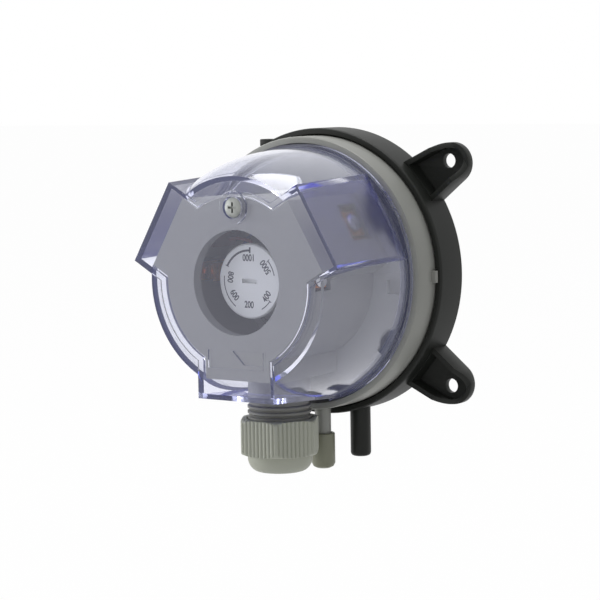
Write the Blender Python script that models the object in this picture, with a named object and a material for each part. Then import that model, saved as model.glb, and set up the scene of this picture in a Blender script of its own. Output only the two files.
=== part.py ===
"""Differential pressure switch with a round wall-mounted base, a clear cover and a cable gland.

The origin is the centre of the rear mounting face. +Z is up and the front faces -Y.
Sizes are in millimetres, and a depth is measured forwards from the wall.
"""

import math

import bmesh
import bpy
from mathutils import Matrix, Vector

MM = 0.001
GAP = 0.3

# depths from the wall to the front of the grey flange
BASE_FLOOR = 2.5
SHELF_DEPTH = BASE_FLOOR + 4.0
BASE_LIP_DEPTH = SHELF_DEPTH + 5.0
DIAPHRAGM_THICKNESS = 0.8
FLANGE_REAR = SHELF_DEPTH + DIAPHRAGM_THICKNESS + 2 * GAP
FLANGE_FRONT = BASE_LIP_DEPTH + 8.5
PARTITION_REAR = FLANGE_REAR + 3.1
PARTITION_FRONT = PARTITION_REAR + 2.0

# plunger, with the collar that lifts the lever and carries the spring
SWITCH_BLOCK_FRONT = PARTITION_FRONT + 9.6
PLUNGER_RADIUS = 1.9
GUIDE_RADIUS = PLUNGER_RADIUS + GAP
COLLAR_RADIUS = 5.2
COLLAR_DEPTH = SWITCH_BLOCK_FRONT + 1.4
COLLAR_THICKNESS = 1.2

# range spring, its adjuster and the post around them
SPRING_MEAN_RADIUS = 3.0
SPRING_WIRE_RADIUS = 0.35
SPRING_TURNS = 6
SPRING_LENGTH = 8.7
ADJUSTER_REAR = COLLAR_DEPTH + COLLAR_THICKNESS + SPRING_LENGTH + 2 * GAP
ADJUSTER_LENGTH = 5.0
ADJUSTER_TRAVEL = 3.0
POST_INNER_RADIUS = COLLAR_RADIUS + 0.4
POST_OUTER_RADIUS = POST_INNER_RADIUS + 2.0
POST_BEAD_RADIUS = POST_OUTER_RADIUS + 0.7
POST_FRONT = ADJUSTER_REAR + ADJUSTER_LENGTH + 3.4
KEY_SLOT_DEPTH = ADJUSTER_REAR - ADJUSTER_TRAVEL - 0.5

# setpoint dial
DIAL_RADIUS = POST_BEAD_RADIUS + 2.5
DIAL_FACE = POST_FRONT + 2.8
DIAL_SKIRT_REAR = KEY_SLOT_DEPTH - 0.7
STUD_RADIUS = 2.0

# switch beside the dial
SWITCH_Z = 2.0
NC_STRIP_X = -(DIAL_RADIUS + 3.6)
NO_STRIP_X = NC_STRIP_X - 5.0
STRIP_THICKNESS = 0.8
STRIP_HALF_WIDTH = 2.7
STRIP_TOP = DIAL_FACE - 1.9
STRIP_FOOT = PARTITION_FRONT + 4.0
RIVET_RADIUS = 1.1
RIVET_HEIGHT = 0.45
LEVER_BLADE_X = NC_STRIP_X - 2.0
LEVER_TIP_X = -(COLLAR_RADIUS - 1.3)
LEVER_TOP = DIAL_FACE - 2.5
LEVER_HUB_RADIUS = 1.6
LEVER_THICKNESS = 0.8
LEVER_HALF_WIDTH = 2.2
ARM_HALF_WIDTH = 1.0
PIVOT_X = LEVER_BLADE_X - 0.1
PIVOT_DEPTH = COLLAR_DEPTH + 2.0
PIN_RADIUS = 0.6
CHEEK_INNER = 2.5
CHEEK_OUTER = 4.6
SWITCH_BLOCK_X = (NO_STRIP_X - 0.2, NC_STRIP_X + 5.2)

# inner shroud, round the switch, with its deck in front of the dial
HUB_INNER_RADIUS = 1.1 - NO_STRIP_X
HUB_OUTER_RADIUS = HUB_INNER_RADIUS + 2.0
LOBE_ANGLES = (30, 150, 270)
SHROUD_RADIUS = HUB_OUTER_RADIUS + 1.9
SHROUD_REACH = SHROUD_RADIUS + 3.4
SHROUD_HALF_WIDTH = 11.2
SHROUD_WALL = 1.8
DECK_COLLAR_DEPTH = DIAL_FACE + 3.0
DECK_COLLAR_WALL = 1.8
DECK_FRONT = DECK_COLLAR_DEPTH + 3.5
DECK_THICKNESS = 2.2
DECK_HOLE_RADIUS = DIAL_RADIUS + 4.2
WINDOW_TANGENT = (SHROUD_HALF_WIDTH - 14.7, SHROUD_HALF_WIDTH - 3.2)
WINDOW_DEPTH = (FLANGE_FRONT + 3.0, FLANGE_FRONT + 12.0)
SIDE_WINDOW_Z = (-1.8, 3.6)
SIDE_WINDOW_DEPTH = (DECK_FRONT - 10.4, DECK_FRONT - 4.2)

# clear cover, with the same lobes as the shroud
COVER_WALL = 1.4
COVER_CLEARANCE = 0.4
COVER_FRONT = DECK_FRONT + COVER_WALL + COVER_CLEARANCE
COVER_STEP = COVER_FRONT - 1.0
COVER_DISC_RADIUS = SHROUD_RADIUS + COVER_WALL + COVER_CLEARANCE
COVER_SHOULDER_RADIUS = COVER_DISC_RADIUS + 4.0
COVER_KNEE_RADIUS = COVER_SHOULDER_RADIUS + 5.0
COVER_KNEE_DEPTH = COVER_FRONT - 9.5
COVER_REAR_RADIUS = COVER_KNEE_RADIUS + 2.2
COVER_LEDGE_RADIUS = COVER_REAR_RADIUS + 0.7
COVER_LEDGE_DEPTH = FLANGE_FRONT + 1.3
LOBE_FRONT_REACH = COVER_SHOULDER_RADIUS + 3.3
LOBE_REAR_REACH = LOBE_FRONT_REACH + 2.0
LOBE_FRONT_HALF_WIDTH = SHROUD_HALF_WIDTH + COVER_WALL + 0.6
LOBE_REAR_HALF_WIDTH = LOBE_FRONT_HALF_WIDTH + 0.6
COVER_SCREW_X = 0.5
COVER_SCREW_Z = SHROUD_RADIUS - 3.0
COVER_SCREW_HEAD = 2.9
COVER_SCREW_SHANK = 1.4
COVER_SCREW_END = DECK_FRONT - 8.2
LABEL_SHALLOW = (
    (-9.4, -19.2),
    (-1.1, -19.2),
    (3.0, -23.1),
    (9.8, -23.1),
    (9.8, -24.4),
    (-9.4, -24.4),
)
LABEL_DEEP = ((-1.1, -19.2), (9.8, -19.2), (9.8, -23.1), (3.0, -23.1))

# upper housing, whose groove takes the cover's tongue
GROOVE_OUTER_RADIUS = COVER_LEDGE_RADIUS + GAP
GROOVE_INNER_RADIUS = GROOVE_OUTER_RADIUS - 3.2
GROOVE_DEPTH = FLANGE_FRONT - 2.6
COVER_TONGUE_DEPTH = GROOVE_DEPTH + 1.5
FLANGE_RADIUS = GROOVE_OUTER_RADIUS + 1.9
FRONT_CHAMBER_DEPTH = FLANGE_FRONT - 2.0

# base chamber, whose rim goes round the flange
RIM_WALL = 1.9
RIM_INNER_RADIUS = FLANGE_RADIUS + GAP
BASE_RADIUS = RIM_INNER_RADIUS + RIM_WALL
BASE_LIP_CHAMFER = 0.8
CHAMBER_RADIUS = BASE_RADIUS - 9.5
EAR_ANGLE = 39.5
EAR_HOLE_REACH = BASE_RADIUS + 9.0
EAR_TIP_RADIUS = 6.8
EAR_ROOT_REACH = BASE_RADIUS - 4.5
EAR_ROOT_HALF_WIDTH = 9.9
EAR_WALL = 1.2
EAR_FLOOR = 2.0
EAR_WALL_DEPTH = BASE_LIP_DEPTH - 1.1
EAR_TIP_DEPTH = 3.4
EAR_HOLE_RADIUS = 2.1
TAB_BOX = (
    (-21.0, BASE_LIP_DEPTH - 4.5, BASE_RADIUS - 5.45),
    (-17.0, BASE_LIP_DEPTH, BASE_RADIUS - 3.3),
)
LATCH_WINDOW = (
    (CHAMBER_RADIUS - 4.2, FLANGE_FRONT - 1.5, -4.7),
    (CHAMBER_RADIUS, FLANGE_FRONT + 2.0, -0.7),
)

# diaphragm and its plate
DIAPHRAGM_RADIUS = RIM_INNER_RADIUS - 1.0
PLATE_RADIUS = HUB_INNER_RADIUS - 0.5

# screws through the rim of the base
HOUSING_SCREW_REACH = CHAMBER_RADIUS + 4.0
HOUSING_SCREW_ANGLES = (45, 135, 225, 315)
HOUSING_SCREW_SHANK = 1.5
HOUSING_SCREW_HEAD = 2.9
HOUSING_SCREW_END = FLANGE_FRONT - 5.0

# hose ports and the cap on the front one
PORT_BORE = 1.2
REAR_PORT_X = 10.2
REAR_PORT_DEPTH = BASE_LIP_DEPTH / 2
REAR_PORT_RADIUS = 3.05
REAR_PORT_END = -(BASE_RADIUS + 12.6)
REAR_CHANNEL_DEPTH = SHELF_DEPTH - 2.1
FRONT_PORT_X = 3.0
FRONT_PORT_DEPTH = FLANGE_FRONT - 5.0
FRONT_PORT_RADIUS = 2.4
FRONT_PORT_END = -(BASE_RADIUS + 13.5)
CAP_RADIUS = FRONT_PORT_RADIUS + 1.1
CAP_TOP = FRONT_PORT_END + 8.5
CAP_END = FRONT_PORT_END - 2.0

# cable gland
GLAND_DEPTH = FLANGE_FRONT + 12.8
NECK_RADIUS = 9.3
NECK_ROOT_RADIUS = NECK_RADIUS - 0.6
NECK_BORE = NECK_RADIUS - 2.9
NECK_END = -(BASE_RADIUS + 7.5)
NUT_TOP = NECK_END + 8.7
NUT_BOTTOM = NECK_END - 2.2
NUT_DOME_END = NUT_BOTTOM - 5.2
NUT_FLATS = 2 * (NECK_RADIUS + 1.6)
NUT_DOME_RADIUS = NECK_RADIUS + 0.2
NUT_HOLE_RADIUS = NECK_BORE - 1.8
THREAD_PITCH = 1.6
THREAD_TURNS = 3

BIG_STEPS = 72
WIDE_CUT_STEPS = 64
MID_STEPS = 40
MID_CUT_STEPS = 36
DIAL_STEPS = 48
SMALL_STEPS = 24
SMALL_CUT_STEPS = 16
START_PER_STEP = 0.37


def place(x=0.0, depth=0.0, z=0.0):
    """A point in metres from an X, a depth in front of the wall, and a Z in millimetres."""
    return Vector((x * MM, -depth * MM, z * MM))


def build(name, points, faces, origin=None):
    """A mesh object from points in metres, with its faces turned outwards and its origin moved."""
    origin = origin or Vector((0.0, 0.0, 0.0))
    mesh = bpy.data.meshes.new(name)
    mesh.from_pydata([tuple(Vector(point) - origin) for point in points], [], faces)
    work = bmesh.new()
    work.from_mesh(mesh)
    bmesh.ops.recalc_face_normals(work, faces=work.faces)
    if work.calc_volume(signed=True) < 0:
        bmesh.ops.reverse_faces(work, faces=work.faces)
    work.to_mesh(mesh)
    work.free()
    mesh.shade_smooth()
    mesh.set_sharp_from_angle(angle=math.radians(32))
    obj = bpy.data.objects.new(name, mesh)
    obj.location = origin
    bpy.context.scene.collection.objects.link(obj)
    return obj


def revolve(name, profile, steps, frame=None, origin=None, start=None):
    """A solid turned about the frame's local Z from a closed profile of (radius, height) points.

    Each number of steps starts at its own angle, so that rings cut by one another share no corners.
    """
    frame = frame or Matrix.Identity(4)
    start = steps * START_PER_STEP if start is None else start
    points = []
    rings = []
    for radius, height in profile:
        if radius == 0:
            rings.append([len(points)])
            points.append(frame @ Vector((0, 0, height * MM)))
            continue
        ring = []
        for step in range(steps):
            turn = math.radians(start) + 2 * math.pi * step / steps
            ring.append(len(points))
            corner = Vector((radius * MM * math.cos(turn), radius * MM * math.sin(turn), height * MM))
            points.append(frame @ corner)
        rings.append(ring)
    faces = []
    for first, second in zip(rings, rings[1:] + rings[:1]):
        if len(first) == 1 and len(second) == 1:
            continue
        for step in range(steps):
            after = (step + 1) % steps
            if len(first) == 1:
                faces.append((first[0], second[step], second[after]))
            elif len(second) == 1:
                faces.append((first[step], first[after], second[0]))
            else:
                faces.append((first[step], first[after], second[after], second[step]))
    return build(name, points, faces, origin)


def forward_frame(x=0.0, z=0.0):
    """Local Z runs forwards out of the wall, so that a height is a depth."""
    return Matrix.Translation(place(x, 0, z)) @ Matrix.Rotation(math.radians(90), 4, "X")


def upright_frame(x, depth):
    """Local Z runs up, at this X and depth."""
    return Matrix.Translation(place(x, depth, 0))


def radial_frame(angle, tangent, depth):
    """Local Z runs outwards along this angle, at this sideways distance and depth."""
    turn = math.radians(angle)
    outward = Vector((math.cos(turn), 0, math.sin(turn)))
    sideways = Vector((-math.sin(turn), 0, math.cos(turn)))
    forward = outward.cross(sideways)
    centre = sideways * tangent * MM + place(0, depth, 0)
    frame = Matrix((sideways, forward, outward)).transposed().to_4x4()
    return Matrix.Translation(centre) @ frame


def prism(name, outline, rear, front, origin=None):
    """A solid with this (x, z) outline from one depth to another."""
    count = len(outline)
    points = [place(x, rear, z) for x, z in outline] + [place(x, front, z) for x, z in outline]
    faces = [tuple(range(count)), tuple(range(2 * count - 1, count - 1, -1))]
    for index in range(count):
        after = (index + 1) % count
        faces.append((index, after, after + count, index + count))
    return build(name, points, faces, origin)


def box(name, low, high, frame=None, origin=None):
    """A box between two corners given as (x, depth, z), or as local millimetres with a frame."""
    corners = []
    for x in (low[0], high[0]):
        for y in (low[1], high[1]):
            for z in (low[2], high[2]):
                corners.append(frame @ (Vector((x, y, z)) * MM) if frame else place(x, y, z))
    faces = [(0, 1, 3, 2), (4, 6, 7, 5), (0, 4, 5, 1), (2, 3, 7, 6), (0, 2, 6, 4), (1, 5, 7, 3)]
    return build(name, corners, faces, origin)


def combine(obj, operation, *others):
    """Adds a Boolean to the object for each of the others, which become hidden helpers."""
    for other in others:
        other.hide_render = True
        other.display_type = "WIRE"
        modifier = obj.modifiers.new(other.name, "BOOLEAN")
        modifier.operation = operation
        modifier.solver = "EXACT"
        modifier.object = other


def arc_points(centre, radius, start, end, count):
    """Points along an arc in the (x, z) plane, with both ends."""
    found = []
    for index in range(count + 1):
        turn = math.radians(start + (end - start) * index / count)
        found.append((centre[0] + radius * math.cos(turn), centre[1] + radius * math.sin(turn)))
    return found


def turned(outline, angle):
    """An outline of (outward, sideways) points turned to this angle."""
    cos = math.cos(math.radians(angle))
    sin = math.sin(math.radians(angle))
    return [(u * cos - v * sin, u * sin + v * cos) for u, v in outline]


def lobe_outline(radius, reach, half_width, arc_steps):
    """A circle with three flat-faced lobes, as separate runs: an arc, then its lobe's two corners."""
    half_angle = math.degrees(math.asin(half_width / radius))
    runs = []
    for angle in LOBE_ANGLES:
        corners = turned([(reach, -half_width), (reach, half_width)], angle)
        arc = arc_points((0, 0), radius, angle + half_angle, angle + 120 - half_angle, arc_steps)
        runs.append((corners, arc))
    return runs


def flat_outline(runs):
    return [point for corners, arc in runs for point in corners + arc]


def paint(obj, colour, roughness=0.5, metallic=0.0, transmission=0.0):
    """Gives the object its own Principled material."""
    material = bpy.data.materials.new(obj.name)
    material.use_nodes = True
    shader = material.node_tree.nodes["Principled BSDF"]
    shader.inputs["Base Color"].default_value = (*colour, 1)
    shader.inputs["Roughness"].default_value = roughness
    shader.inputs["Metallic"].default_value = metallic
    shader.inputs["Transmission Weight"].default_value = transmission
    obj.data.materials.clear()
    obj.data.materials.append(material)
    material.diffuse_color = (*colour, 0.35 if transmission else 1)


BLACK_PLASTIC = (0.045, 0.05, 0.047)
GREY_PLASTIC = (0.6, 0.6, 0.55)
WHITE_PLASTIC = (0.8, 0.8, 0.78)
DARK_PLASTIC = (0.02, 0.02, 0.02)
BOARD_BROWN = (0.16, 0.07, 0.03)
COPPER = (0.75, 0.34, 0.16)
BRASS = (0.7, 0.52, 0.2)
STEEL = (0.6, 0.6, 0.58)
RUBBER = (0.03, 0.03, 0.03)
CLEAR = (0.86, 0.88, 0.98)

for leftover in list(bpy.data.objects):
    bpy.data.objects.remove(leftover)


# base chamber: a shallow round dish with two hollow ears on its right side
def make_ear(side):
    """One ear, hollow towards the front, with walls that fall away towards the tip."""
    angle = side * EAR_ANGLE
    label = "upper" if side > 0 else "lower"

    def outline(inset):
        tip = EAR_TIP_RADIUS - inset
        root = EAR_ROOT_HALF_WIDTH - inset
        lean = math.degrees(math.atan2(root - tip, EAR_HOLE_REACH - EAR_ROOT_REACH))
        arc = arc_points((EAR_HOLE_REACH, 0), tip, -90 + lean, 90 - lean, 14)
        return turned([(EAR_ROOT_REACH, -root)] + arc + [(EAR_ROOT_REACH, root)], angle)

    ear = prism(f"{label}_ear", outline(0), 0, EAR_WALL_DEPTH)
    pocket = prism(f"{label}_ear_pocket", outline(EAR_WALL), EAR_FLOOR, EAR_WALL_DEPTH + 2)
    frame = Matrix.Rotation(math.radians(-angle), 4, "Y")
    tip_reach = EAR_HOLE_REACH + EAR_TIP_RADIUS
    curve = []
    for index in range(11):
        share = index / 10
        reach = BASE_RADIUS + share * (tip_reach - BASE_RADIUS + 1)
        curve.append((reach, EAR_TIP_DEPTH + (EAR_WALL_DEPTH - EAR_TIP_DEPTH) * (1 - share) ** 2.2))
    above = EAR_WALL_DEPTH + 3
    rim = [(tip_reach + 1, above), (BASE_RADIUS - 6, above), (BASE_RADIUS - 6, EAR_WALL_DEPTH)]
    side_points = curve + rim
    count = len(side_points)
    points = []
    for z in (-12, 12):
        points += [frame @ place(u, depth, z) for u, depth in side_points]
    faces = [tuple(range(count)), tuple(range(2 * count - 1, count - 1, -1))]
    faces += [(i, (i + 1) % count, (i + 1) % count + count, i + count) for i in range(count)]
    slope = build(f"{label}_ear_slope", points, faces)
    hole_x, hole_z = turned([(EAR_HOLE_REACH, 0)], angle)[0]
    hole = revolve(
        f"{label}_ear_hole",
        [(0, -1), (EAR_HOLE_RADIUS, -1), (EAR_HOLE_RADIUS, 4), (0, 4)],
        SMALL_STEPS,
        forward_frame(hole_x, hole_z),
    )
    inner_edge = BASE_RADIUS - EAR_WALL
    root_trim = revolve(
        f"{label}_ear_root_trim",
        [(0, -1), (inner_edge, -1), (inner_edge, BASE_LIP_DEPTH + 2), (0, BASE_LIP_DEPTH + 2)],
        WIDE_CUT_STEPS,
        forward_frame(),
    )
    combine(ear, "DIFFERENCE", pocket, slope, hole, root_trim)
    return ear


base_chamber = revolve(
    "base_chamber",
    [
        (0, 0),
        (BASE_RADIUS, 0),
        (BASE_RADIUS, BASE_LIP_DEPTH - BASE_LIP_CHAMFER),
        (BASE_RADIUS - BASE_LIP_CHAMFER, BASE_LIP_DEPTH),
        (RIM_INNER_RADIUS, BASE_LIP_DEPTH),
        (RIM_INNER_RADIUS, SHELF_DEPTH),
        (CHAMBER_RADIUS, SHELF_DEPTH),
        (CHAMBER_RADIUS, BASE_FLOOR),
        (0, BASE_FLOOR),
    ],
    BIG_STEPS,
    forward_frame(),
)
rear_port_root = -(BASE_RADIUS - 2.6)
rear_port = revolve(
    "rear_port",
    [
        (0, rear_port_root),
        (REAR_PORT_RADIUS, rear_port_root),
        (REAR_PORT_RADIUS, REAR_PORT_END + 0.5),
        (REAR_PORT_RADIUS - 0.5, REAR_PORT_END),
        (0, REAR_PORT_END),
    ],
    SMALL_STEPS,
    upright_frame(REAR_PORT_X, REAR_PORT_DEPTH),
)
rear_bore = revolve(
    "rear_bore",
    [
        (0, rear_port_root + 0.4),
        (PORT_BORE, rear_port_root + 0.4),
        (PORT_BORE, REAR_PORT_END - 1),
        (0, REAR_PORT_END - 1),
    ],
    SMALL_CUT_STEPS,
    upright_frame(REAR_PORT_X, REAR_PORT_DEPTH),
)
rear_channel = revolve(
    "rear_channel",
    [
        (0, 3 - CHAMBER_RADIUS),
        (PORT_BORE, 3 - CHAMBER_RADIUS),
        (PORT_BORE, rear_port_root - 1.1),
        (0, rear_port_root - 1.1),
    ],
    SMALL_CUT_STEPS,
    upright_frame(REAR_PORT_X, REAR_CHANNEL_DEPTH),
)
combine(base_chamber, "UNION", make_ear(1), make_ear(-1), box("rim_tab", *TAB_BOX), rear_port)
combine(base_chamber, "DIFFERENCE", rear_bore, rear_channel)

# screws that clamp the base, the diaphragm and the upper housing together
screw_centres = [turned([(HOUSING_SCREW_REACH, 0)], angle)[0] for angle in HOUSING_SCREW_ANGLES]
hole_radius = HOUSING_SCREW_SHANK + GAP
diaphragm_holes = []
housing_holes = []
for number, (x, z) in enumerate(screw_centres, 1):
    head_hole = revolve(
        f"base_screw_hole_{number}",
        [
            (0, -1),
            (HOUSING_SCREW_HEAD + GAP, -1),
            (HOUSING_SCREW_HEAD + GAP, 0.7),
            (hole_radius, 0.7 + HOUSING_SCREW_HEAD - HOUSING_SCREW_SHANK),
            (hole_radius, 9),
            (0, 9),
        ],
        SMALL_STEPS,
        forward_frame(x, z),
    )
    combine(base_chamber, "DIFFERENCE", head_hole)
    for holes, label, low, high in (
        (diaphragm_holes, "diaphragm", 4, 9),
        (housing_holes, "housing", 5, HOUSING_SCREW_END + 0.5),
    ):
        holes.append(
            revolve(
                f"{label}_screw_hole_{number}",
                [(0, low), (hole_radius, low), (hole_radius, high), (0, high)],
                SMALL_STEPS,
                forward_frame(x, z),
            )
        )
    screw = revolve(
        f"housing_screw_{number}",
        [
            (0, 0.4),
            (HOUSING_SCREW_HEAD, 0.4),
            (HOUSING_SCREW_HEAD, 0.7 + GAP),
            (HOUSING_SCREW_SHANK, 0.7 + GAP + HOUSING_SCREW_HEAD - HOUSING_SCREW_SHANK),
            (HOUSING_SCREW_SHANK, HOUSING_SCREW_END - 0.8),
            (HOUSING_SCREW_SHANK - 0.7, HOUSING_SCREW_END),
            (0, HOUSING_SCREW_END),
        ],
        SMALL_STEPS,
        forward_frame(x, z),
    )
    slots = [
        box(f"screw_slot_{number}_across", (x - 1.5, -1, z - 0.3), (x + 1.5, 1.4, z + 0.3)),
        box(f"screw_slot_{number}_down", (x - 0.3, -1, z - 1.5), (x + 0.3, 1.4, z + 1.5)),
    ]
    combine(screw, "DIFFERENCE", *slots)
    paint(screw, STEEL, 0.35, 1.0)
paint(base_chamber, BLACK_PLASTIC, 0.45)

# diaphragm with one rolled convolution
roll = [(11, 0), (9, -1.0), (6, -1.9), (3, -1.0), (1, 0)]
rear_face = SHELF_DEPTH + GAP
profile = [(0, rear_face)]
profile += [(CHAMBER_RADIUS - inset, rear_face + sag) for inset, sag in roll]
profile += [(DIAPHRAGM_RADIUS, rear_face)]
profile += [(r, depth + DIAPHRAGM_THICKNESS) for r, depth in reversed(profile)]
diaphragm = revolve("diaphragm", profile, WIDE_CUT_STEPS, forward_frame())
combine(diaphragm, "DIFFERENCE", *diaphragm_holes)
paint(diaphragm, RUBBER, 0.7)

# stiff plate in front of the diaphragm, and the plunger it pushes
plate_rear = rear_face + DIAPHRAGM_THICKNESS + GAP
diaphragm_plate = revolve(
    "diaphragm_plate",
    [
        (0, plate_rear),
        (PLATE_RADIUS, plate_rear),
        (PLATE_RADIUS, plate_rear + 1.4),
        (PLATE_RADIUS - 1.4, plate_rear + 1.4),
        (PLATE_RADIUS - 1.4, plate_rear + 0.8),
        (4, plate_rear + 0.8),
        (4, plate_rear + 1.2),
        (0, plate_rear + 1.2),
    ],
    MID_STEPS,
    forward_frame(),
)
paint(diaphragm_plate, STEEL, 0.4, 1.0)
plunger_rear = plate_rear + 1.2 + GAP
collar_front = COLLAR_DEPTH + COLLAR_THICKNESS
plunger = revolve(
    "plunger",
    [
        (0, plunger_rear),
        (PLUNGER_RADIUS, plunger_rear),
        (PLUNGER_RADIUS, COLLAR_DEPTH),
        (COLLAR_RADIUS, COLLAR_DEPTH),
        (COLLAR_RADIUS, collar_front),
        (PLUNGER_RADIUS, collar_front),
        (PLUNGER_RADIUS, collar_front + 1.8),
        (PLUNGER_RADIUS - 0.6, collar_front + 2.3),
        (0, collar_front + 2.3),
    ],
    SMALL_STEPS,
    forward_frame(),
)
paint(plunger, WHITE_PLASTIC, 0.4)

# upper housing: the grey flange, its partition, the front port and the central post
upper_housing = revolve(
    "upper_housing",
    [
        (GUIDE_RADIUS, PARTITION_REAR),
        (HUB_OUTER_RADIUS, PARTITION_REAR),
        (HUB_OUTER_RADIUS, FRONT_CHAMBER_DEPTH),
        (CHAMBER_RADIUS, FRONT_CHAMBER_DEPTH),
        (CHAMBER_RADIUS, FLANGE_REAR),
        (FLANGE_RADIUS, FLANGE_REAR),
        (FLANGE_RADIUS, FLANGE_FRONT - 0.9),
        (FLANGE_RADIUS - 0.3, FLANGE_FRONT - 0.3),
        (FLANGE_RADIUS - 0.9, FLANGE_FRONT),
        (GROOVE_OUTER_RADIUS, FLANGE_FRONT),
        (GROOVE_OUTER_RADIUS, GROOVE_DEPTH),
        (GROOVE_INNER_RADIUS, GROOVE_DEPTH),
        (GROOVE_INNER_RADIUS, FLANGE_FRONT),
        (HUB_INNER_RADIUS, FLANGE_FRONT),
        (HUB_INNER_RADIUS, PARTITION_FRONT),
        (GUIDE_RADIUS, PARTITION_FRONT),
    ],
    BIG_STEPS,
    forward_frame(),
)
post = revolve(
    "post",
    [
        (POST_INNER_RADIUS, PARTITION_FRONT - 0.8),
        (POST_OUTER_RADIUS, PARTITION_FRONT - 0.8),
        (POST_OUTER_RADIUS, POST_FRONT - 2.0),
        (POST_BEAD_RADIUS, POST_FRONT - 1.9),
        (POST_BEAD_RADIUS, POST_FRONT - 0.6),
        (POST_OUTER_RADIUS, POST_FRONT),
        (POST_INNER_RADIUS, POST_FRONT),
    ],
    MID_STEPS,
    forward_frame(),
)
front_port_root = -(FLANGE_RADIUS - 1.8)
front_port = revolve(
    "front_port",
    [
        (0, front_port_root),
        (FRONT_PORT_RADIUS, front_port_root),
        (FRONT_PORT_RADIUS, FRONT_PORT_END + 0.6),
        (FRONT_PORT_RADIUS - 0.5, FRONT_PORT_END),
        (0, FRONT_PORT_END),
    ],
    SMALL_STEPS,
    upright_frame(FRONT_PORT_X, FRONT_PORT_DEPTH),
)
front_bore = revolve(
    "front_bore",
    [
        (0, 2 - CHAMBER_RADIUS),
        (PORT_BORE, 2 - CHAMBER_RADIUS),
        (PORT_BORE, FRONT_PORT_END - 1),
        (0, FRONT_PORT_END - 1),
    ],
    SMALL_CUT_STEPS,
    upright_frame(FRONT_PORT_X, FRONT_PORT_DEPTH),
)
nub_root = FLANGE_RADIUS - 0.7
nub_tip = FLANGE_RADIUS + 1.3
nubs = [
    box("nub_right", (nub_root, BASE_LIP_DEPTH + 0.4, -1.7), (nub_tip, BASE_LIP_DEPTH + 1.7, 1.7)),
    box("nub_left", (-nub_tip, BASE_LIP_DEPTH + 0.4, -1.7), (-nub_root, BASE_LIP_DEPTH + 1.7, 1.7)),
]
combine(upper_housing, "UNION", post, front_port, *nubs)
lever_slot = box(
    "lever_slot",
    (-POST_OUTER_RADIUS - 1.4, collar_front - GAP, SWITCH_Z - ARM_HALF_WIDTH - 0.6),
    (LEVER_TIP_X + 0.9, collar_front + 3.0, SWITCH_Z + ARM_HALF_WIDTH + 0.6),
)
key_slot = box(
    "key_slot",
    (POST_INNER_RADIUS - 2.6, KEY_SLOT_DEPTH, -1.2),
    (POST_OUTER_RADIUS + 1.4, POST_FRONT + 1, 1.2),
)
combine(
    upper_housing,
    "DIFFERENCE",
    front_bore,
    lever_slot,
    key_slot,
    box("latch_window", *LATCH_WINDOW),
    *housing_holes,
)
paint(upper_housing, GREY_PLASTIC, 0.45)

# inner shroud: a drum with three flat lobes, a deck with a round opening, and the gland neck
shroud_rear = FLANGE_FRONT + GAP
shroud_outline = flat_outline(lobe_outline(SHROUD_RADIUS, SHROUD_REACH, SHROUD_HALF_WIDTH, 12))
inner_shroud = prism("inner_shroud", shroud_outline, shroud_rear, DECK_FRONT)
hollow_outline = flat_outline(
    lobe_outline(
        SHROUD_RADIUS - SHROUD_WALL,
        SHROUD_REACH - SHROUD_WALL,
        SHROUD_HALF_WIDTH - SHROUD_WALL,
        12,
    )
)
shroud_hollow = prism("shroud_hollow", hollow_outline, shroud_rear - 2, DECK_FRONT - DECK_THICKNESS)
deck_collar = revolve(
    "deck_collar",
    [
        (DECK_HOLE_RADIUS - 1, DECK_COLLAR_DEPTH),
        (DECK_HOLE_RADIUS + DECK_COLLAR_WALL, DECK_COLLAR_DEPTH),
        (DECK_HOLE_RADIUS + DECK_COLLAR_WALL, DECK_FRONT - 1),
        (DECK_HOLE_RADIUS - 1, DECK_FRONT - 1),
    ],
    BIG_STEPS,
    forward_frame(),
)
screw_boss = revolve(
    "screw_boss",
    [(0, COVER_SCREW_END - 2), (2.8, COVER_SCREW_END - 2), (2.8, DECK_FRONT - 1), (0, DECK_FRONT - 1)],
    SMALL_STEPS,
    forward_frame(COVER_SCREW_X, COVER_SCREW_Z - 0.2),
)
ridge = []
for turn in range(THREAD_TURNS, 0, -1):
    crest = NUT_TOP - 0.8 + THREAD_PITCH * turn
    ridge += [
        (NECK_ROOT_RADIUS, crest + 0.75),
        (NECK_RADIUS, crest + 0.3),
        (NECK_RADIUS, crest - 0.3),
        (NECK_ROOT_RADIUS, crest - 0.75),
    ]
neck = revolve(
    "neck",
    [
        (0, 1 - SHROUD_REACH),
        (NECK_ROOT_RADIUS, 1 - SHROUD_REACH),
        *ridge,
        (NECK_RADIUS, NUT_TOP - 0.7),
        (NECK_RADIUS, NECK_END),
        (0, NECK_END),
    ],
    MID_STEPS,
    upright_frame(0, GLAND_DEPTH),
)
neck_bore = revolve(
    "neck_bore",
    [
        (0, 3.8 - SHROUD_REACH),
        (NECK_BORE, 3.8 - SHROUD_REACH),
        (NECK_BORE, NECK_END - 1),
        (0, NECK_END - 1),
    ],
    MID_CUT_STEPS,
    upright_frame(0, GLAND_DEPTH),
)
above_deck = DECK_FRONT + 2.8
below_collar = DECK_COLLAR_DEPTH - 3.7
deck_hole = revolve(
    "deck_hole",
    [(0, below_collar), (DECK_HOLE_RADIUS, below_collar), (DECK_HOLE_RADIUS, above_deck), (0, above_deck)],
    WIDE_CUT_STEPS,
    forward_frame(),
)
screw_pilot = revolve(
    "screw_pilot",
    [
        (0, COVER_SCREW_END - 0.5),
        (COVER_SCREW_SHANK + GAP, COVER_SCREW_END - 0.5),
        (COVER_SCREW_SHANK + GAP, above_deck),
        (0, above_deck),
    ],
    SMALL_STEPS,
    forward_frame(COVER_SCREW_X, COVER_SCREW_Z),
)
combine(inner_shroud, "DIFFERENCE", shroud_hollow)
combine(inner_shroud, "UNION", deck_collar, screw_boss, neck)
combine(inner_shroud, "DIFFERENCE", deck_hole, screw_pilot, neck_bore)

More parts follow.
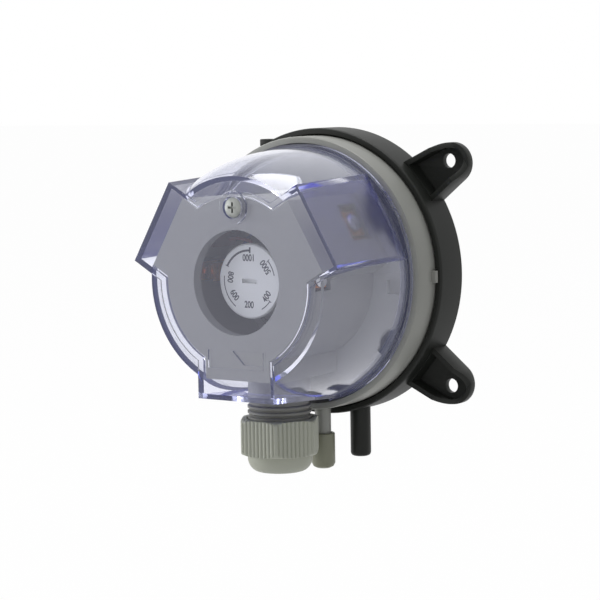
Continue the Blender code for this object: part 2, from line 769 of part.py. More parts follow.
# terminal boards behind the windows in the shroud, each with a plate and a screw
board_outer = SHROUD_REACH - SHROUD_WALL - GAP
middle = sum(WINDOW_TANGENT) / 2
depth_middle = sum(WINDOW_DEPTH) / 2
half_tangent = (WINDOW_TANGENT[1] - WINDOW_TANGENT[0]) / 2
half_depth = (WINDOW_DEPTH[1] - WINDOW_DEPTH[0]) / 2
side_middle = sum(SIDE_WINDOW_Z) / 2
side_depth = sum(SIDE_WINDOW_DEPTH) / 2
side_outer = SHROUD_RADIUS - SHROUD_WALL - 0.4
half_side = (SIDE_WINDOW_Z[1] - SIDE_WINDOW_Z[0]) / 2
half_side_depth = (SIDE_WINDOW_DEPTH[1] - SIDE_WINDOW_DEPTH[0]) / 2
TERMINALS = (
    ("no", LOBE_ANGLES[0], middle, depth_middle, board_outer, half_tangent, half_depth, 1.0),
    ("nc", LOBE_ANGLES[1], -middle, depth_middle, board_outer, half_tangent, half_depth, 1.0),
    ("com", 0, side_middle, side_depth, side_outer, half_side, half_side_depth, 1.2),
)
for label, angle, tangent, depth, outer, half_t, half_d, lap in TERMINALS:
    frame = radial_frame(angle, tangent, depth)
    window = box(f"window_{label}", (-half_t, -half_d, outer - 1), (half_t, half_d, outer + 5), frame)
    combine(inner_shroud, "DIFFERENCE", window)
    board = box(
        f"terminal_board_{label}",
        (-half_t - lap, -half_d - lap, outer - 2.0),
        (half_t + lap, half_d + lap, outer),
        frame,
    )
    scale = half_d / half_depth
    shank = 1.3 * scale
    board_hole = revolve(
        f"board_hole_{label}",
        [(0, outer - 4), (shank + GAP, outer - 4), (shank + GAP, outer + 1), (0, outer + 1)],
        SMALL_CUT_STEPS,
        frame,
    )
    combine(board, "DIFFERENCE", board_hole)
    paint(board, BOARD_BROWN, 0.55)
    plate_low = outer + GAP
    plate_high = plate_low + 0.8
    plate = box(
        f"terminal_plate_{label}",
        (-half_t * 0.68, -half_d * 0.72, plate_low),
        (half_t * 0.68, half_d * 0.72, plate_high),
        frame,
    )
    plate_hole = revolve(
        f"plate_hole_{label}",
        [(0, outer - 1), (shank + GAP, outer - 1), (shank + GAP, outer + 3), (0, outer + 3)],
        SMALL_CUT_STEPS,
        frame,
    )
    combine(plate, "DIFFERENCE", plate_hole)
    paint(plate, COPPER, 0.3, 1.0)
    head = 2.5 * scale
    head_low = plate_high + GAP
    screw = revolve(
        f"terminal_screw_{label}",
        [
            (0, outer - 3.0),
            (shank, outer - 3.0),
            (shank, head_low),
            (head, head_low),
            (head, head_low + 0.6 * scale),
            (head - 0.4, head_low + 0.9 * scale),
            (0, head_low + 0.9 * scale),
        ],
        SMALL_STEPS,
        frame,
    )
    slot = box(
        f"terminal_slot_{label}",
        (-4, -0.35, head_low + 0.4 * scale),
        (4, 0.35, head_low + 3),
        frame,
    )
    combine(screw, "DIFFERENCE", slot)
    paint(screw, STEEL, 0.3, 1.0)
paint(inner_shroud, GREY_PLASTIC, 0.45)

# gland nut, with a hexagonal grip and a domed end
nut_bore = NECK_RADIUS + GAP
nut_frame = upright_frame(0, GLAND_DEPTH)
nut_origin = place(0, GLAND_DEPTH, (NUT_TOP + NUT_BOTTOM) / 2)
corner_radius = NUT_FLATS / math.sqrt(3)
gland_nut = revolve(
    "gland_nut",
    [
        (0, NUT_TOP),
        (corner_radius, NUT_TOP),
        (corner_radius, NUT_BOTTOM),
        (0, NUT_BOTTOM),
    ],
    6,
    nut_frame,
    nut_origin,
    0.0,
)
chamfer = 1.3
grip_round = revolve(
    "grip_round",
    [
        (0, NUT_TOP + 1),
        (corner_radius - chamfer - 0.4, NUT_TOP + 1),
        (corner_radius - chamfer + 0.5, NUT_TOP - 0.1),
        (corner_radius - 0.45, NUT_TOP - 1.3),
        (corner_radius - 0.45, NUT_BOTTOM + 1.6),
        (corner_radius - chamfer + 0.3, NUT_BOTTOM + 0.3),
        (corner_radius - chamfer - 0.6, NUT_BOTTOM - 1),
        (0, NUT_BOTTOM - 1),
    ],
    BIG_STEPS,
    nut_frame,
)
dome_points = [(NUT_DOME_RADIUS, NUT_BOTTOM + 1.0), (NUT_DOME_RADIUS, NUT_BOTTOM - 0.9)]
for index in range(1, 7):
    turn = math.radians(90 * index / 6)
    dome_points.append(
        (
            NUT_DOME_RADIUS - 3.4 * (1 - math.cos(turn)),
            NUT_BOTTOM - 0.9 - (NUT_BOTTOM - 0.9 - NUT_DOME_END) * math.sin(turn),
        )
    )
nut_dome = revolve(
    "nut_dome",
    [(0, NUT_BOTTOM + 1.0)] + dome_points + [(0, NUT_DOME_END)],
    MID_STEPS,
    nut_frame,
)
nut_hollow = revolve(
    "nut_hollow",
    [
        (0, NUT_TOP + 1),
        (nut_bore, NUT_TOP + 1),
        (nut_bore, NECK_END - 0.9),
        (NECK_BORE + 0.2, NUT_DOME_END + 1.6),
        (NUT_HOLE_RADIUS, NUT_DOME_END + 1.6),
        (NUT_HOLE_RADIUS, NUT_DOME_END - 1),
        (0, NUT_DOME_END - 1),
    ],
    MID_CUT_STEPS,
    nut_frame,
)
combine(gland_nut, "INTERSECT", grip_round)
combine(gland_nut, "UNION", nut_dome)
combine(gland_nut, "DIFFERENCE", nut_hollow)
paint(gland_nut, GREY_PLASTIC, 0.5)
gland_seal = revolve(
    "gland_seal",
    [
        (NUT_HOLE_RADIUS - 1.2, NECK_END - GAP),
        (NECK_RADIUS - 0.7, NECK_END - GAP),
        (NECK_RADIUS - 0.7, NECK_END - 0.9),
        (NECK_BORE - 0.4, NUT_DOME_END + 1.6 + GAP),
        (NUT_HOLE_RADIUS - 1.2, NUT_DOME_END + 1.6 + GAP),
    ],
    MID_STEPS,
    upright_frame(0, GLAND_DEPTH),
)
paint(gland_seal, RUBBER, 0.7)

# push-on cap over the front port
port_cap = revolve(
    "port_cap",
    [
        (FRONT_PORT_RADIUS + GAP, CAP_TOP),
        (CAP_RADIUS - 0.3, CAP_TOP),
        (CAP_RADIUS, CAP_TOP - 0.3),
        (CAP_RADIUS, CAP_END + 1.5),
        (CAP_RADIUS - 0.5, CAP_END + 0.5),
        (CAP_RADIUS - 1.5, CAP_END),
        (0, CAP_END),
        (0, FRONT_PORT_END - 0.5),
        (FRONT_PORT_RADIUS + GAP, FRONT_PORT_END - 0.5),
    ],
    SMALL_STEPS,
    upright_frame(FRONT_PORT_X, FRONT_PORT_DEPTH),
    place(FRONT_PORT_X, FRONT_PORT_DEPTH, CAP_TOP),
)
paint(port_cap, (0.42, 0.41, 0.33), 0.5)


# clear cover: a stepped cone with three flat-faced lobes, hollow behind
def lobed_shell(name, inset, rear, arc_steps=14):
    """The cover's outer shape moved inwards by the inset, from the rear depth to its front."""
    front = COVER_FRONT - inset
    step = COVER_STEP - inset

    def lobe_at(depth):
        share = (depth - COVER_LEDGE_DEPTH) / (COVER_FRONT - COVER_LEDGE_DEPTH)
        reach = LOBE_REAR_REACH + (LOBE_FRONT_REACH - LOBE_REAR_REACH) * share
        half = LOBE_REAR_HALF_WIDTH + (LOBE_FRONT_HALF_WIDTH - LOBE_REAR_HALF_WIDTH) * share
        return reach - inset, half - inset

    sections = [
        (rear, COVER_REAR_RADIUS - inset),
        (COVER_KNEE_DEPTH - inset * 0.5, COVER_KNEE_RADIUS - inset),
        (step, COVER_SHOULDER_RADIUS - inset),
    ]
    points = []
    faces = []
    previous = None
    for depth, radius in sections:
        reach, half = lobe_at(depth)
        outline = flat_outline(lobe_outline(radius, reach, half, arc_steps))
        ring = list(range(len(points), len(points) + len(outline)))
        points += [place(x, depth, z) for x, z in outline]
        if previous is None:
            faces.append(tuple(ring))
        else:
            count = len(ring)
            for i in range(count):
                after = (i + 1) % count
                faces.append((previous[i], previous[after], ring[after], ring[i]))
        previous = ring
    disc_radius = COVER_DISC_RADIUS - inset
    reach, half = lobe_at(step)
    low_runs = lobe_outline(disc_radius, reach, half, arc_steps)
    high_runs = lobe_outline(disc_radius, *lobe_at(front), arc_steps)
    run_length = arc_steps + 3
    top = []
    arcs = []
    for index, (low, high) in enumerate(zip(low_runs, high_runs)):
        shoulder = previous[index * run_length:(index + 1) * run_length]
        low_arc = list(range(len(points), len(points) + arc_steps + 1))
        points += [place(x, step, z) for x, z in low[1]]
        high_ring = list(range(len(points), len(points) + run_length))
        points += [place(x, front, z) for x, z in high[0] + high[1]]
        for i in range(arc_steps):
            faces.append((shoulder[2 + i], shoulder[3 + i], low_arc[i + 1], low_arc[i]))
            faces.append((low_arc[i], low_arc[i + 1], high_ring[3 + i], high_ring[2 + i]))
        faces.append((shoulder[0], shoulder[1], high_ring[1], high_ring[0]))
        faces.append((shoulder[1], shoulder[2], low_arc[0], high_ring[2], high_ring[1]))
        arcs.append((shoulder, low_arc, high_ring))
        top += high_ring
    for index, (shoulder, low_arc, high_ring) in enumerate(arcs):
        after_shoulder, _, after_high = arcs[(index + 1) % 3]
        faces.append((low_arc[-1], shoulder[-1], after_shoulder[0], after_high[0], high_ring[-1]))
    faces.append(tuple(reversed(top)))
    return build(name, points, faces)


cover = lobed_shell("cover", 0.0, COVER_LEDGE_DEPTH - 0.4)
cover_ledge = revolve(
    "cover_ledge",
    [
        (0, FLANGE_FRONT + GAP),
        (COVER_LEDGE_RADIUS - 2.5, FLANGE_FRONT + GAP),
        (COVER_LEDGE_RADIUS - 2.3, COVER_TONGUE_DEPTH),
        (COVER_LEDGE_RADIUS, COVER_TONGUE_DEPTH),
        (COVER_LEDGE_RADIUS, COVER_LEDGE_DEPTH),
        (0, COVER_LEDGE_DEPTH),
    ],
    BIG_STEPS,
    forward_frame(),
)
cover_mouth = revolve(
    "cover_mouth",
    [
        (0, COVER_TONGUE_DEPTH - 1),
        (LOBE_REAR_REACH - COVER_WALL - 0.05, COVER_TONGUE_DEPTH - 1),
        (LOBE_REAR_REACH - COVER_WALL - 0.05, COVER_LEDGE_DEPTH + 0.5),
        (0, COVER_LEDGE_DEPTH + 0.5),
    ],
    WIDE_CUT_STEPS,
    forward_frame(),
)
cover_hollow = lobed_shell("cover_hollow", COVER_WALL, COVER_LEDGE_DEPTH)
slot_radius = NECK_RADIUS + 0.4
slot_rear = COVER_TONGUE_DEPTH - 8.9
slot_outline = [(-slot_radius, slot_rear), (slot_radius, slot_rear)]
slot_outline += arc_points((0, GLAND_DEPTH), slot_radius, 0, 180, 20)
count = len(slot_outline)
slot_points = [place(x, depth, 3.5 - LOBE_FRONT_REACH) for x, depth in slot_outline]
slot_points += [place(x, depth, -COVER_LEDGE_RADIUS - 1.4) for x, depth in slot_outline]
slot_faces = [tuple(range(count)), tuple(range(2 * count - 1, count - 1, -1))]
slot_faces += [(i, (i + 1) % count, (i + 1) % count + count, i + count) for i in range(count)]
neck_slot = build("neck_slot", slot_points, slot_faces)
boss_radius = COVER_SCREW_HEAD + 1.2
boss_ring = revolve(
    "boss_ring",
    [
        (0, COVER_FRONT - 0.7),
        (boss_radius, COVER_FRONT - 0.7),
        (boss_radius, COVER_FRONT + 0.4),
        (boss_radius - 0.2, COVER_FRONT + 0.6),
        (0, COVER_FRONT + 0.6),
    ],
    MID_STEPS,
    forward_frame(COVER_SCREW_X, COVER_SCREW_Z),
)
boss_recess = revolve(
    "boss_recess",
    [
        (0, COVER_FRONT - 3),
        (COVER_SCREW_SHANK + GAP, COVER_FRONT - 3),
        (COVER_SCREW_SHANK + GAP, COVER_FRONT - 0.8),
        (COVER_SCREW_HEAD + GAP, COVER_FRONT - 0.8),
        (COVER_SCREW_HEAD + GAP, COVER_FRONT + 2),
        (0, COVER_FRONT + 2),
    ],
    MID_CUT_STEPS,
    forward_frame(COVER_SCREW_X, COVER_SCREW_Z),
)
label_shallow = prism("label_shallow", LABEL_SHALLOW, COVER_FRONT - 0.35, COVER_FRONT + 1)
label_deep = prism("label_deep", LABEL_DEEP, COVER_FRONT - 0.8, COVER_FRONT + 1)
combine(cover, "UNION", cover_ledge)
combine(cover, "DIFFERENCE", cover_hollow, cover_mouth, neck_slot, label_shallow, label_deep)
combine(cover, "UNION", boss_ring)
combine(cover, "DIFFERENCE", boss_recess)
paint(cover, CLEAR, 0.05, 0.0, 1.0)

cover_seal = revolve(
    "cover_seal",
    [
        (GROOVE_INNER_RADIUS + GAP, GROOVE_DEPTH + GAP),
        (GROOVE_OUTER_RADIUS - GAP, GROOVE_DEPTH + GAP),
        (GROOVE_OUTER_RADIUS - GAP, COVER_TONGUE_DEPTH - GAP),
        (GROOVE_INNER_RADIUS + GAP, COVER_TONGUE_DEPTH - GAP),
    ],
    WIDE_CUT_STEPS,
    forward_frame(),
)
paint(cover_seal, RUBBER, 0.7)

head_rear = COVER_FRONT - 0.8 + GAP
cover_screw = revolve(
    "cover_screw",
    [
        (0, COVER_SCREW_END),
        (COVER_SCREW_SHANK - 0.6, COVER_SCREW_END),
        (COVER_SCREW_SHANK, COVER_SCREW_END + 0.8),
        (COVER_SCREW_SHANK, head_rear),
        (COVER_SCREW_HEAD, head_rear),
        (COVER_SCREW_HEAD, head_rear + 0.7),
        (COVER_SCREW_HEAD - 0.5, head_rear + 1.0),
        (0, head_rear + 1.0),
    ],
    SMALL_STEPS,
    forward_frame(COVER_SCREW_X, COVER_SCREW_Z),
    place(COVER_SCREW_X, head_rear, COVER_SCREW_Z),
)
cross = [
    box(
        "cross_across",
        (COVER_SCREW_X - 1.5, head_rear + 0.3, COVER_SCREW_Z - 0.3),
        (COVER_SCREW_X + 1.5, head_rear + 3, COVER_SCREW_Z + 0.3),
    ),
    box(
        "cross_down",
        (COVER_SCREW_X - 0.3, head_rear + 0.3, COVER_SCREW_Z - 1.5),
        (COVER_SCREW_X + 0.3, head_rear + 3, COVER_SCREW_Z + 1.5),
    ),
]
combine(cover_screw, "DIFFERENCE", *cross)
paint(cover_screw, STEEL, 0.35, 1.0)

# setpoint dial, with a skirt that turns on the post and a stud that drives the adjuster
setpoint_dial = revolve(
    "setpoint_dial",
    [
        (0, DIAL_FACE),
        (DIAL_RADIUS - 0.4, DIAL_FACE),
        (DIAL_RADIUS, DIAL_FACE - 0.4),
        (DIAL_RADIUS, DIAL_SKIRT_REAR),
        (DIAL_RADIUS - 1.2, DIAL_SKIRT_REAR),
        (DIAL_RADIUS - 1.2, POST_FRONT - 4.4),
        (POST_OUTER_RADIUS + GAP, POST_FRONT - 4.4),
        (POST_OUTER_RADIUS + GAP, POST_FRONT - 2.4),
        (POST_BEAD_RADIUS + 0.4, POST_FRONT - 2.4),
        (POST_BEAD_RADIUS + 0.4, POST_FRONT + GAP),
        (STUD_RADIUS, POST_FRONT + GAP),
        (STUD_RADIUS, KEY_SLOT_DEPTH),
        (0, KEY_SLOT_DEPTH),
    ],
    DIAL_STEPS,
    forward_frame(),
    place(0, DIAL_FACE, 0),
)
dial_slot = box("dial_slot", (-2.6, DIAL_FACE - 1.2, -0.6), (2.6, DIAL_FACE + 1, 0.6))
combine(setpoint_dial, "DIFFERENCE", dial_slot)
paint(setpoint_dial, WHITE_PLASTIC, 0.4)

spring_adjuster = revolve(
    "spring_adjuster",
    [
        (STUD_RADIUS + 0.4, ADJUSTER_REAR),
        (POST_INNER_RADIUS - GAP, ADJUSTER_REAR),
        (POST_INNER_RADIUS - GAP, ADJUSTER_REAR + ADJUSTER_LENGTH),
        (STUD_RADIUS + 0.4, ADJUSTER_REAR + ADJUSTER_LENGTH),
    ],
    SMALL_STEPS,
    forward_frame(),
)
adjuster_key = box(
    "adjuster_key",
    (POST_INNER_RADIUS - 1.0, ADJUSTER_REAR, -0.9),
    (POST_OUTER_RADIUS - 0.4, ADJUSTER_REAR + ADJUSTER_LENGTH, 0.9),
)
combine(spring_adjuster, "UNION", adjuster_key)
paint(spring_adjuster, BRASS, 0.35, 1.0)


def coil(name, start, end, turns, radius, wire, per_turn=16, sides=6):
    """A helical spring along the depth axis, with its end turns wound closed."""
    points = []
    faces = []
    total = turns * per_turn
    low = start + wire
    high = end - wire
    for index in range(total + 1):
        turn = index / per_turn
        share = min(max((turn - 0.75) / (turns - 1.5), 0.0), 1.0)
        lead = 0.15 * min(turn, 0.75) / 0.75
        tail = 0.15 * max(turn - turns + 0.75, 0.0) / 0.75
        depth = low + lead + tail + (high - low - 0.3) * share
        angle = 2 * math.pi * turn
        for side in range(sides):
            bend = 2 * math.pi * side / sides
            reach = radius + wire * math.cos(bend)
            wire_depth = depth + wire * math.sin(bend)
            points.append(place(reach * math.cos(angle), wire_depth, reach * math.sin(angle)))
    for index in range(total):
        for side in range(sides):
            after = (side + 1) % sides
            a = index * sides
            b = a + sides
            faces.append((a + side, a + after, b + after, b + side))
    faces.append(tuple(range(sides - 1, -1, -1)))
    faces.append(tuple(range(total * sides, total * sides + sides)))
    return build(name, points, faces)


range_spring = coil(
    "range_spring",
    collar_front + GAP,
    ADJUSTER_REAR - GAP,
    SPRING_TURNS,
    SPRING_MEAN_RADIUS,
    SPRING_WIRE_RADIUS,
)
paint(range_spring, STEEL, 0.3, 1.0)


def wire(name, path, radius=0.5, sides=8):
    """An insulated lead along a path of (x, depth, z) points."""
    corners = [place(*point) for point in path]
    points = []
    faces = []
    side_axis = None
    for index, corner in enumerate(corners):
        before = corners[max(index - 1, 0)]
        after = corners[min(index + 1, len(corners) - 1)]
        along = (after - before).normalized()
        if side_axis is None:
            side_axis = along.orthogonal().normalized()
        side_axis = (side_axis - along * side_axis.dot(along)).normalized()
        up_axis = along.cross(side_axis)
        for side in range(sides):
            turn = 2 * math.pi * side / sides
            points.append(corner + (side_axis * math.cos(turn) + up_axis * math.sin(turn)) * radius * MM)
    for index in range(len(corners) - 1):
        for side in range(sides):
            after = (side + 1) % sides
            a = index * sides
            b = a + sides
            faces.append((a + side, a + after, b + after, b + side))
    last = (len(corners) - 1) * sides
    faces.append(tuple(range(sides - 1, -1, -1)))
    faces.append(tuple(range(last, last + sides)))
    return build(name, points, faces)


# switch: an insulating block that carries the pivot and the two fixed contacts
switch_base = box(
    "switch_base",
    (SWITCH_BLOCK_X[0], PARTITION_FRONT + GAP, SWITCH_Z - 4.6),
    (SWITCH_BLOCK_X[1], SWITCH_BLOCK_FRONT, SWITCH_Z + 4.6),
)
block_limit = revolve(
    "block_limit",
    [
        (0, PARTITION_FRONT - 1),
        (HUB_INNER_RADIUS - GAP, PARTITION_FRONT - 1),
        (HUB_INNER_RADIUS - GAP, DIAL_FACE),
        (0, DIAL_FACE),
    ],
    BIG_STEPS,
    forward_frame(),
)
cheeks = [
    box(
        f"cheek_{label}",
        (PIVOT_X - LEVER_HUB_RADIUS, SWITCH_BLOCK_FRONT - 1, SWITCH_Z + low),
        (PIVOT_X + LEVER_HUB_RADIUS, PIVOT_DEPTH + 2.0, SWITCH_Z + high),
    )
    for label, low, high in (("upper", CHEEK_INNER, CHEEK_OUTER), ("lower", -CHEEK_OUTER, -CHEEK_INNER))
]
pin_frame = upright_frame(PIVOT_X, PIVOT_DEPTH)
pin_hole = revolve(
    "pin_hole",
    [(0, -8), (PIN_RADIUS + GAP, -8), (PIN_RADIUS + GAP, 12), (0, 12)],
    SMALL_CUT_STEPS,
    pin_frame,
)
strip_slots = []
for label, strip_x in (("nc", NC_STRIP_X), ("no", NO_STRIP_X)):
    strip_slots.append(
        box(
            f"strip_slot_{label}",
            (strip_x - GAP, STRIP_FOOT - GAP, SWITCH_Z - STRIP_HALF_WIDTH - GAP),
            (strip_x + STRIP_THICKNESS + GAP, SWITCH_BLOCK_FRONT + 1, SWITCH_Z + STRIP_HALF_WIDTH + GAP),
        )
    )
combine(switch_base, "UNION", *cheeks)
combine(switch_base, "INTERSECT", block_limit)
combine(switch_base, "DIFFERENCE", pin_hole, *strip_slots)
paint(switch_base, DARK_PLASTIC, 0.5)

lever_pin = revolve(
    "lever_pin",
    [
        (0, SWITCH_Z - CHEEK_OUTER),
        (PIN_RADIUS, SWITCH_Z - CHEEK_OUTER),
        (PIN_RADIUS, SWITCH_Z + CHEEK_OUTER),
        (0, SWITCH_Z + CHEEK_OUTER),
    ],
    SMALL_CUT_STEPS,
    pin_frame,
)
paint(lever_pin, STEEL, 0.3, 1.0)

lever_origin = place(PIVOT_X, PIVOT_DEPTH, SWITCH_Z)
arm_rear = collar_front + GAP
contact_lever = revolve(
    "contact_lever",
    [
        (0, SWITCH_Z - LEVER_HALF_WIDTH),
        (LEVER_HUB_RADIUS, SWITCH_Z - LEVER_HALF_WIDTH),
        (LEVER_HUB_RADIUS, SWITCH_Z + LEVER_HALF_WIDTH),
        (0, SWITCH_Z + LEVER_HALF_WIDTH),
    ],
    SMALL_CUT_STEPS,
    pin_frame,
    lever_origin,
)
lever_arm = box(
    "lever_arm",
    (PIVOT_X + 0.4, arm_rear, SWITCH_Z - ARM_HALF_WIDTH),
    (LEVER_TIP_X, arm_rear + LEVER_THICKNESS, SWITCH_Z + ARM_HALF_WIDTH),
)
lever_blade = box(
    "lever_blade",
    (LEVER_BLADE_X, PIVOT_DEPTH, SWITCH_Z - LEVER_HALF_WIDTH + 0.2),
    (LEVER_BLADE_X + LEVER_THICKNESS, LEVER_TOP, SWITCH_Z + LEVER_HALF_WIDTH - 0.2),
)
rivet_centre = Matrix.Translation(place(0, LEVER_TOP - 1.7, SWITCH_Z))
sideways = rivet_centre @ Matrix.Rotation(math.radians(90), 4, "Y")
lever_rivet = revolve(
    "lever_rivet",
    [
        (0, LEVER_BLADE_X - 0.6),
        (RIVET_RADIUS, LEVER_BLADE_X - 0.6),
        (RIVET_RADIUS, LEVER_BLADE_X + LEVER_THICKNESS + RIVET_HEIGHT),
        (0, LEVER_BLADE_X + LEVER_THICKNESS + RIVET_HEIGHT),
    ],
    SMALL_CUT_STEPS,
    sideways,
)
lever_hole = revolve(
    "lever_hole",
    [
        (0, SWITCH_Z - 4),
        (PIN_RADIUS + GAP, SWITCH_Z - 4),
        (PIN_RADIUS + GAP, SWITCH_Z + 4),
        (0, SWITCH_Z + 4),
    ],
    SMALL_CUT_STEPS,
    pin_frame,
)
combine(contact_lever, "UNION", lever_arm, lever_blade, lever_rivet)
combine(contact_lever, "DIFFERENCE", lever_hole)
paint(contact_lever, COPPER, 0.3, 1.0)

for label, strip_x, rivet_side in (("nc", NC_STRIP_X, -1), ("no", NO_STRIP_X, 1)):
    strip = box(
        f"fixed_contact_{label}",
        (strip_x, STRIP_FOOT, SWITCH_Z - STRIP_HALF_WIDTH),
        (strip_x + STRIP_THICKNESS, STRIP_TOP, SWITCH_Z + STRIP_HALF_WIDTH),
    )
    near = strip_x + STRIP_THICKNESS / 2
    far = near + rivet_side * (STRIP_THICKNESS / 2 + RIVET_HEIGHT)
    rivet = revolve(
        f"contact_rivet_{label}",
        [(0, near), (RIVET_RADIUS, near), (RIVET_RADIUS, far), (0, far)],
        SMALL_CUT_STEPS,
        sideways,
    )
    combine(strip, "UNION", rivet)
    if label == "nc":
        arm_window = box(
            "arm_window",
            (strip_x - 1, arm_rear - 0.6, SWITCH_Z - ARM_HALF_WIDTH - 0.5),
            (strip_x + 2, arm_rear + LEVER_THICKNESS + 1.2, SWITCH_Z + ARM_HALF_WIDTH + 0.5),
        )
        combine(strip, "DIFFERENCE", arm_window)
    paint(strip, COPPER, 0.3, 1.0)

# leads from the switch to the terminal boards
lead_end_x = board_outer - 5.4
lead_depth = sum(WINDOW_DEPTH) / 2
side_start = SIDE_WINDOW_DEPTH[0]
LEADS = (
    (
        "nc",
        (0.35, 0.05, 0.04),
        [
            (NC_STRIP_X + 1.7, SWITCH_BLOCK_FRONT + 1.4, 3.6),
            (NC_STRIP_X + 1.7, SWITCH_BLOCK_FRONT + 1.6, 7.2),
            (-14.8, 25.4, 9.8),
            (-17.8, 27.0, 10.5),
            (-lead_end_x, lead_depth, 10.2),
        ],
    ),
    (
        "no",
        (0.04, 0.08, 0.3),
        [
            (NO_STRIP_X + 0.4, SWITCH_BLOCK_FRONT + 1.4, 5.3),
            (NO_STRIP_X + 1.0, SWITCH_BLOCK_FRONT + 1.2, 8.0),
            (-15.6, 23.6, 11.2),
            (-9.0, 23.6, 15.4),
            (0.0, 23.6, 17.6),
            (9.0, 24.0, 15.8),
            (14.5, 26.2, 12.2),
            (17.5, 27.2, 10.6),
            (lead_end_x, lead_depth, 10.2),
        ],
    ),
    (
        "com",
        (0.03, 0.03, 0.03),
        [
            (PIVOT_X, PIVOT_DEPTH, SWITCH_Z - CHEEK_OUTER - GAP),
            (-16.2, 26.0, -6.0),
            (-13.0, 25.4, -11.5),
            (-6.0, 24.4, -16.0),
            (3.0, 24.2, -17.2),
            (11.5, 26.0, -14.2),
            (17.0, 31.0, -8.5),
            (18.6, 38.0, -4.0),
            (side_outer - 3.2, side_start - 0.2, -2.2),
            (side_outer - 2.6, side_start + 1.0, -1.4),
        ],
    ),
)
for label, colour, path in LEADS:
    paint(wire(f"lead_{label}", path), colour, 0.5)
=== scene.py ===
import math

import bmesh
import bpy
from mathutils import Matrix, Vector


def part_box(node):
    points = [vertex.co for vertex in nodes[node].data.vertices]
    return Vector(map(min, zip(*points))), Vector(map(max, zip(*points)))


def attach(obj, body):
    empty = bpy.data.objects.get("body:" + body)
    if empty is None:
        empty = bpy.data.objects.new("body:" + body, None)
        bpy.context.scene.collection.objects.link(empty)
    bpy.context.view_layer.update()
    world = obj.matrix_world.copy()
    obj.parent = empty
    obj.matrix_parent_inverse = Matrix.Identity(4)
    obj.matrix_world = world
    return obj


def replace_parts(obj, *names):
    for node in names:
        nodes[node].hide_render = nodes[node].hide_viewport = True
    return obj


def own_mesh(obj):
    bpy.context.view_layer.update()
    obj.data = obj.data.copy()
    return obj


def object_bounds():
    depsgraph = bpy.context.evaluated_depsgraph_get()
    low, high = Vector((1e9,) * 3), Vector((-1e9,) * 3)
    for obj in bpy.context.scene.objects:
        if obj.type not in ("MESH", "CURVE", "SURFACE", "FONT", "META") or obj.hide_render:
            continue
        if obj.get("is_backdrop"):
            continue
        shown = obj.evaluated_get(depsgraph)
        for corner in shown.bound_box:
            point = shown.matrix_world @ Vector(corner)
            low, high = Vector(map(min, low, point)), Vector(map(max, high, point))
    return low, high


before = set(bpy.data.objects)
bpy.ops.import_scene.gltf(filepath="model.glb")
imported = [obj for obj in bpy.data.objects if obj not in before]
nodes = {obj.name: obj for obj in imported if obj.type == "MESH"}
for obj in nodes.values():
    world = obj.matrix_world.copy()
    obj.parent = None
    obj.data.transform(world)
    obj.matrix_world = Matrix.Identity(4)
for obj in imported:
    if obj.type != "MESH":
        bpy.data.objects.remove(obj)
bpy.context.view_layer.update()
mm = 0.001  # the dictionaries of the pieces are in millimetres


# Camera: where the photographer stood, with the front centre of the switch as its target
photoView = {
    "azimuth": 35.56,
    "elevation": 5.01,
    "roll": -1.01,
    "distance": 0.650,
    "target": (0.0, -0.029, 0.0),
    "targetPixel": (284.76, 276.22),
    "focalPixels": 2237.4,
    "framePixels": 600,
    "sensor": 36.0,
    "nearest": 0.01,
    "farthest": 20.0,
}


def buildCamera(view):
    azimuth = math.radians(view["azimuth"])
    elevation = math.radians(view["elevation"])
    roll = math.radians(view["roll"])
    flat = math.cos(elevation)
    back = Vector((math.sin(azimuth) * flat, -math.cos(azimuth) * flat, math.sin(elevation)))
    level = Vector((math.cos(azimuth), math.sin(azimuth), 0.0))
    upright = back.cross(level)
    right = level * math.cos(roll) + upright * math.sin(roll)
    up = upright * math.cos(roll) - level * math.sin(roll)
    place = Vector(view["target"]) + back * view["distance"]
    data = bpy.data.cameras.new("photoCamera")
    data.sensor_width = view["sensor"]
    data.lens = view["focalPixels"] / view["framePixels"] * view["sensor"]
    data.shift_x = 0.5 - view["targetPixel"][0] / view["framePixels"]
    data.shift_y = view["targetPixel"][1] / view["framePixels"] - 0.5
    data.clip_start = view["nearest"]
    data.clip_end = view["farthest"]
    camera = bpy.data.objects.new("photoCamera", data)
    camera.matrix_world = Matrix.Translation(place) @ Matrix((right, up, back)).transposed().to_4x4()
    bpy.context.scene.collection.objects.link(camera)
    bpy.context.scene.camera = camera


buildCamera(photoView)
print("camera placed")


# Node groups that several finishes share
def newGroup(name, inputs, outputs):
    group = bpy.data.node_groups.new(name, "ShaderNodeTree")
    for label, kind, value in inputs:
        socket = group.interface.new_socket(label, in_out="INPUT", socket_type=kind)
        socket.default_value = value
    for label, kind in outputs:
        group.interface.new_socket(label, in_out="OUTPUT", socket_type=kind)
    return group, group.nodes.new("NodeGroupInput"), group.nodes.new("NodeGroupOutput")


def addNode(tree, kind, **settings):
    node = tree.nodes.new(kind)
    for key, value in settings.items():
        if hasattr(node, key):
            setattr(node, key, value)
        else:
            node.inputs[key.replace("_", " ")].default_value = value
    return node


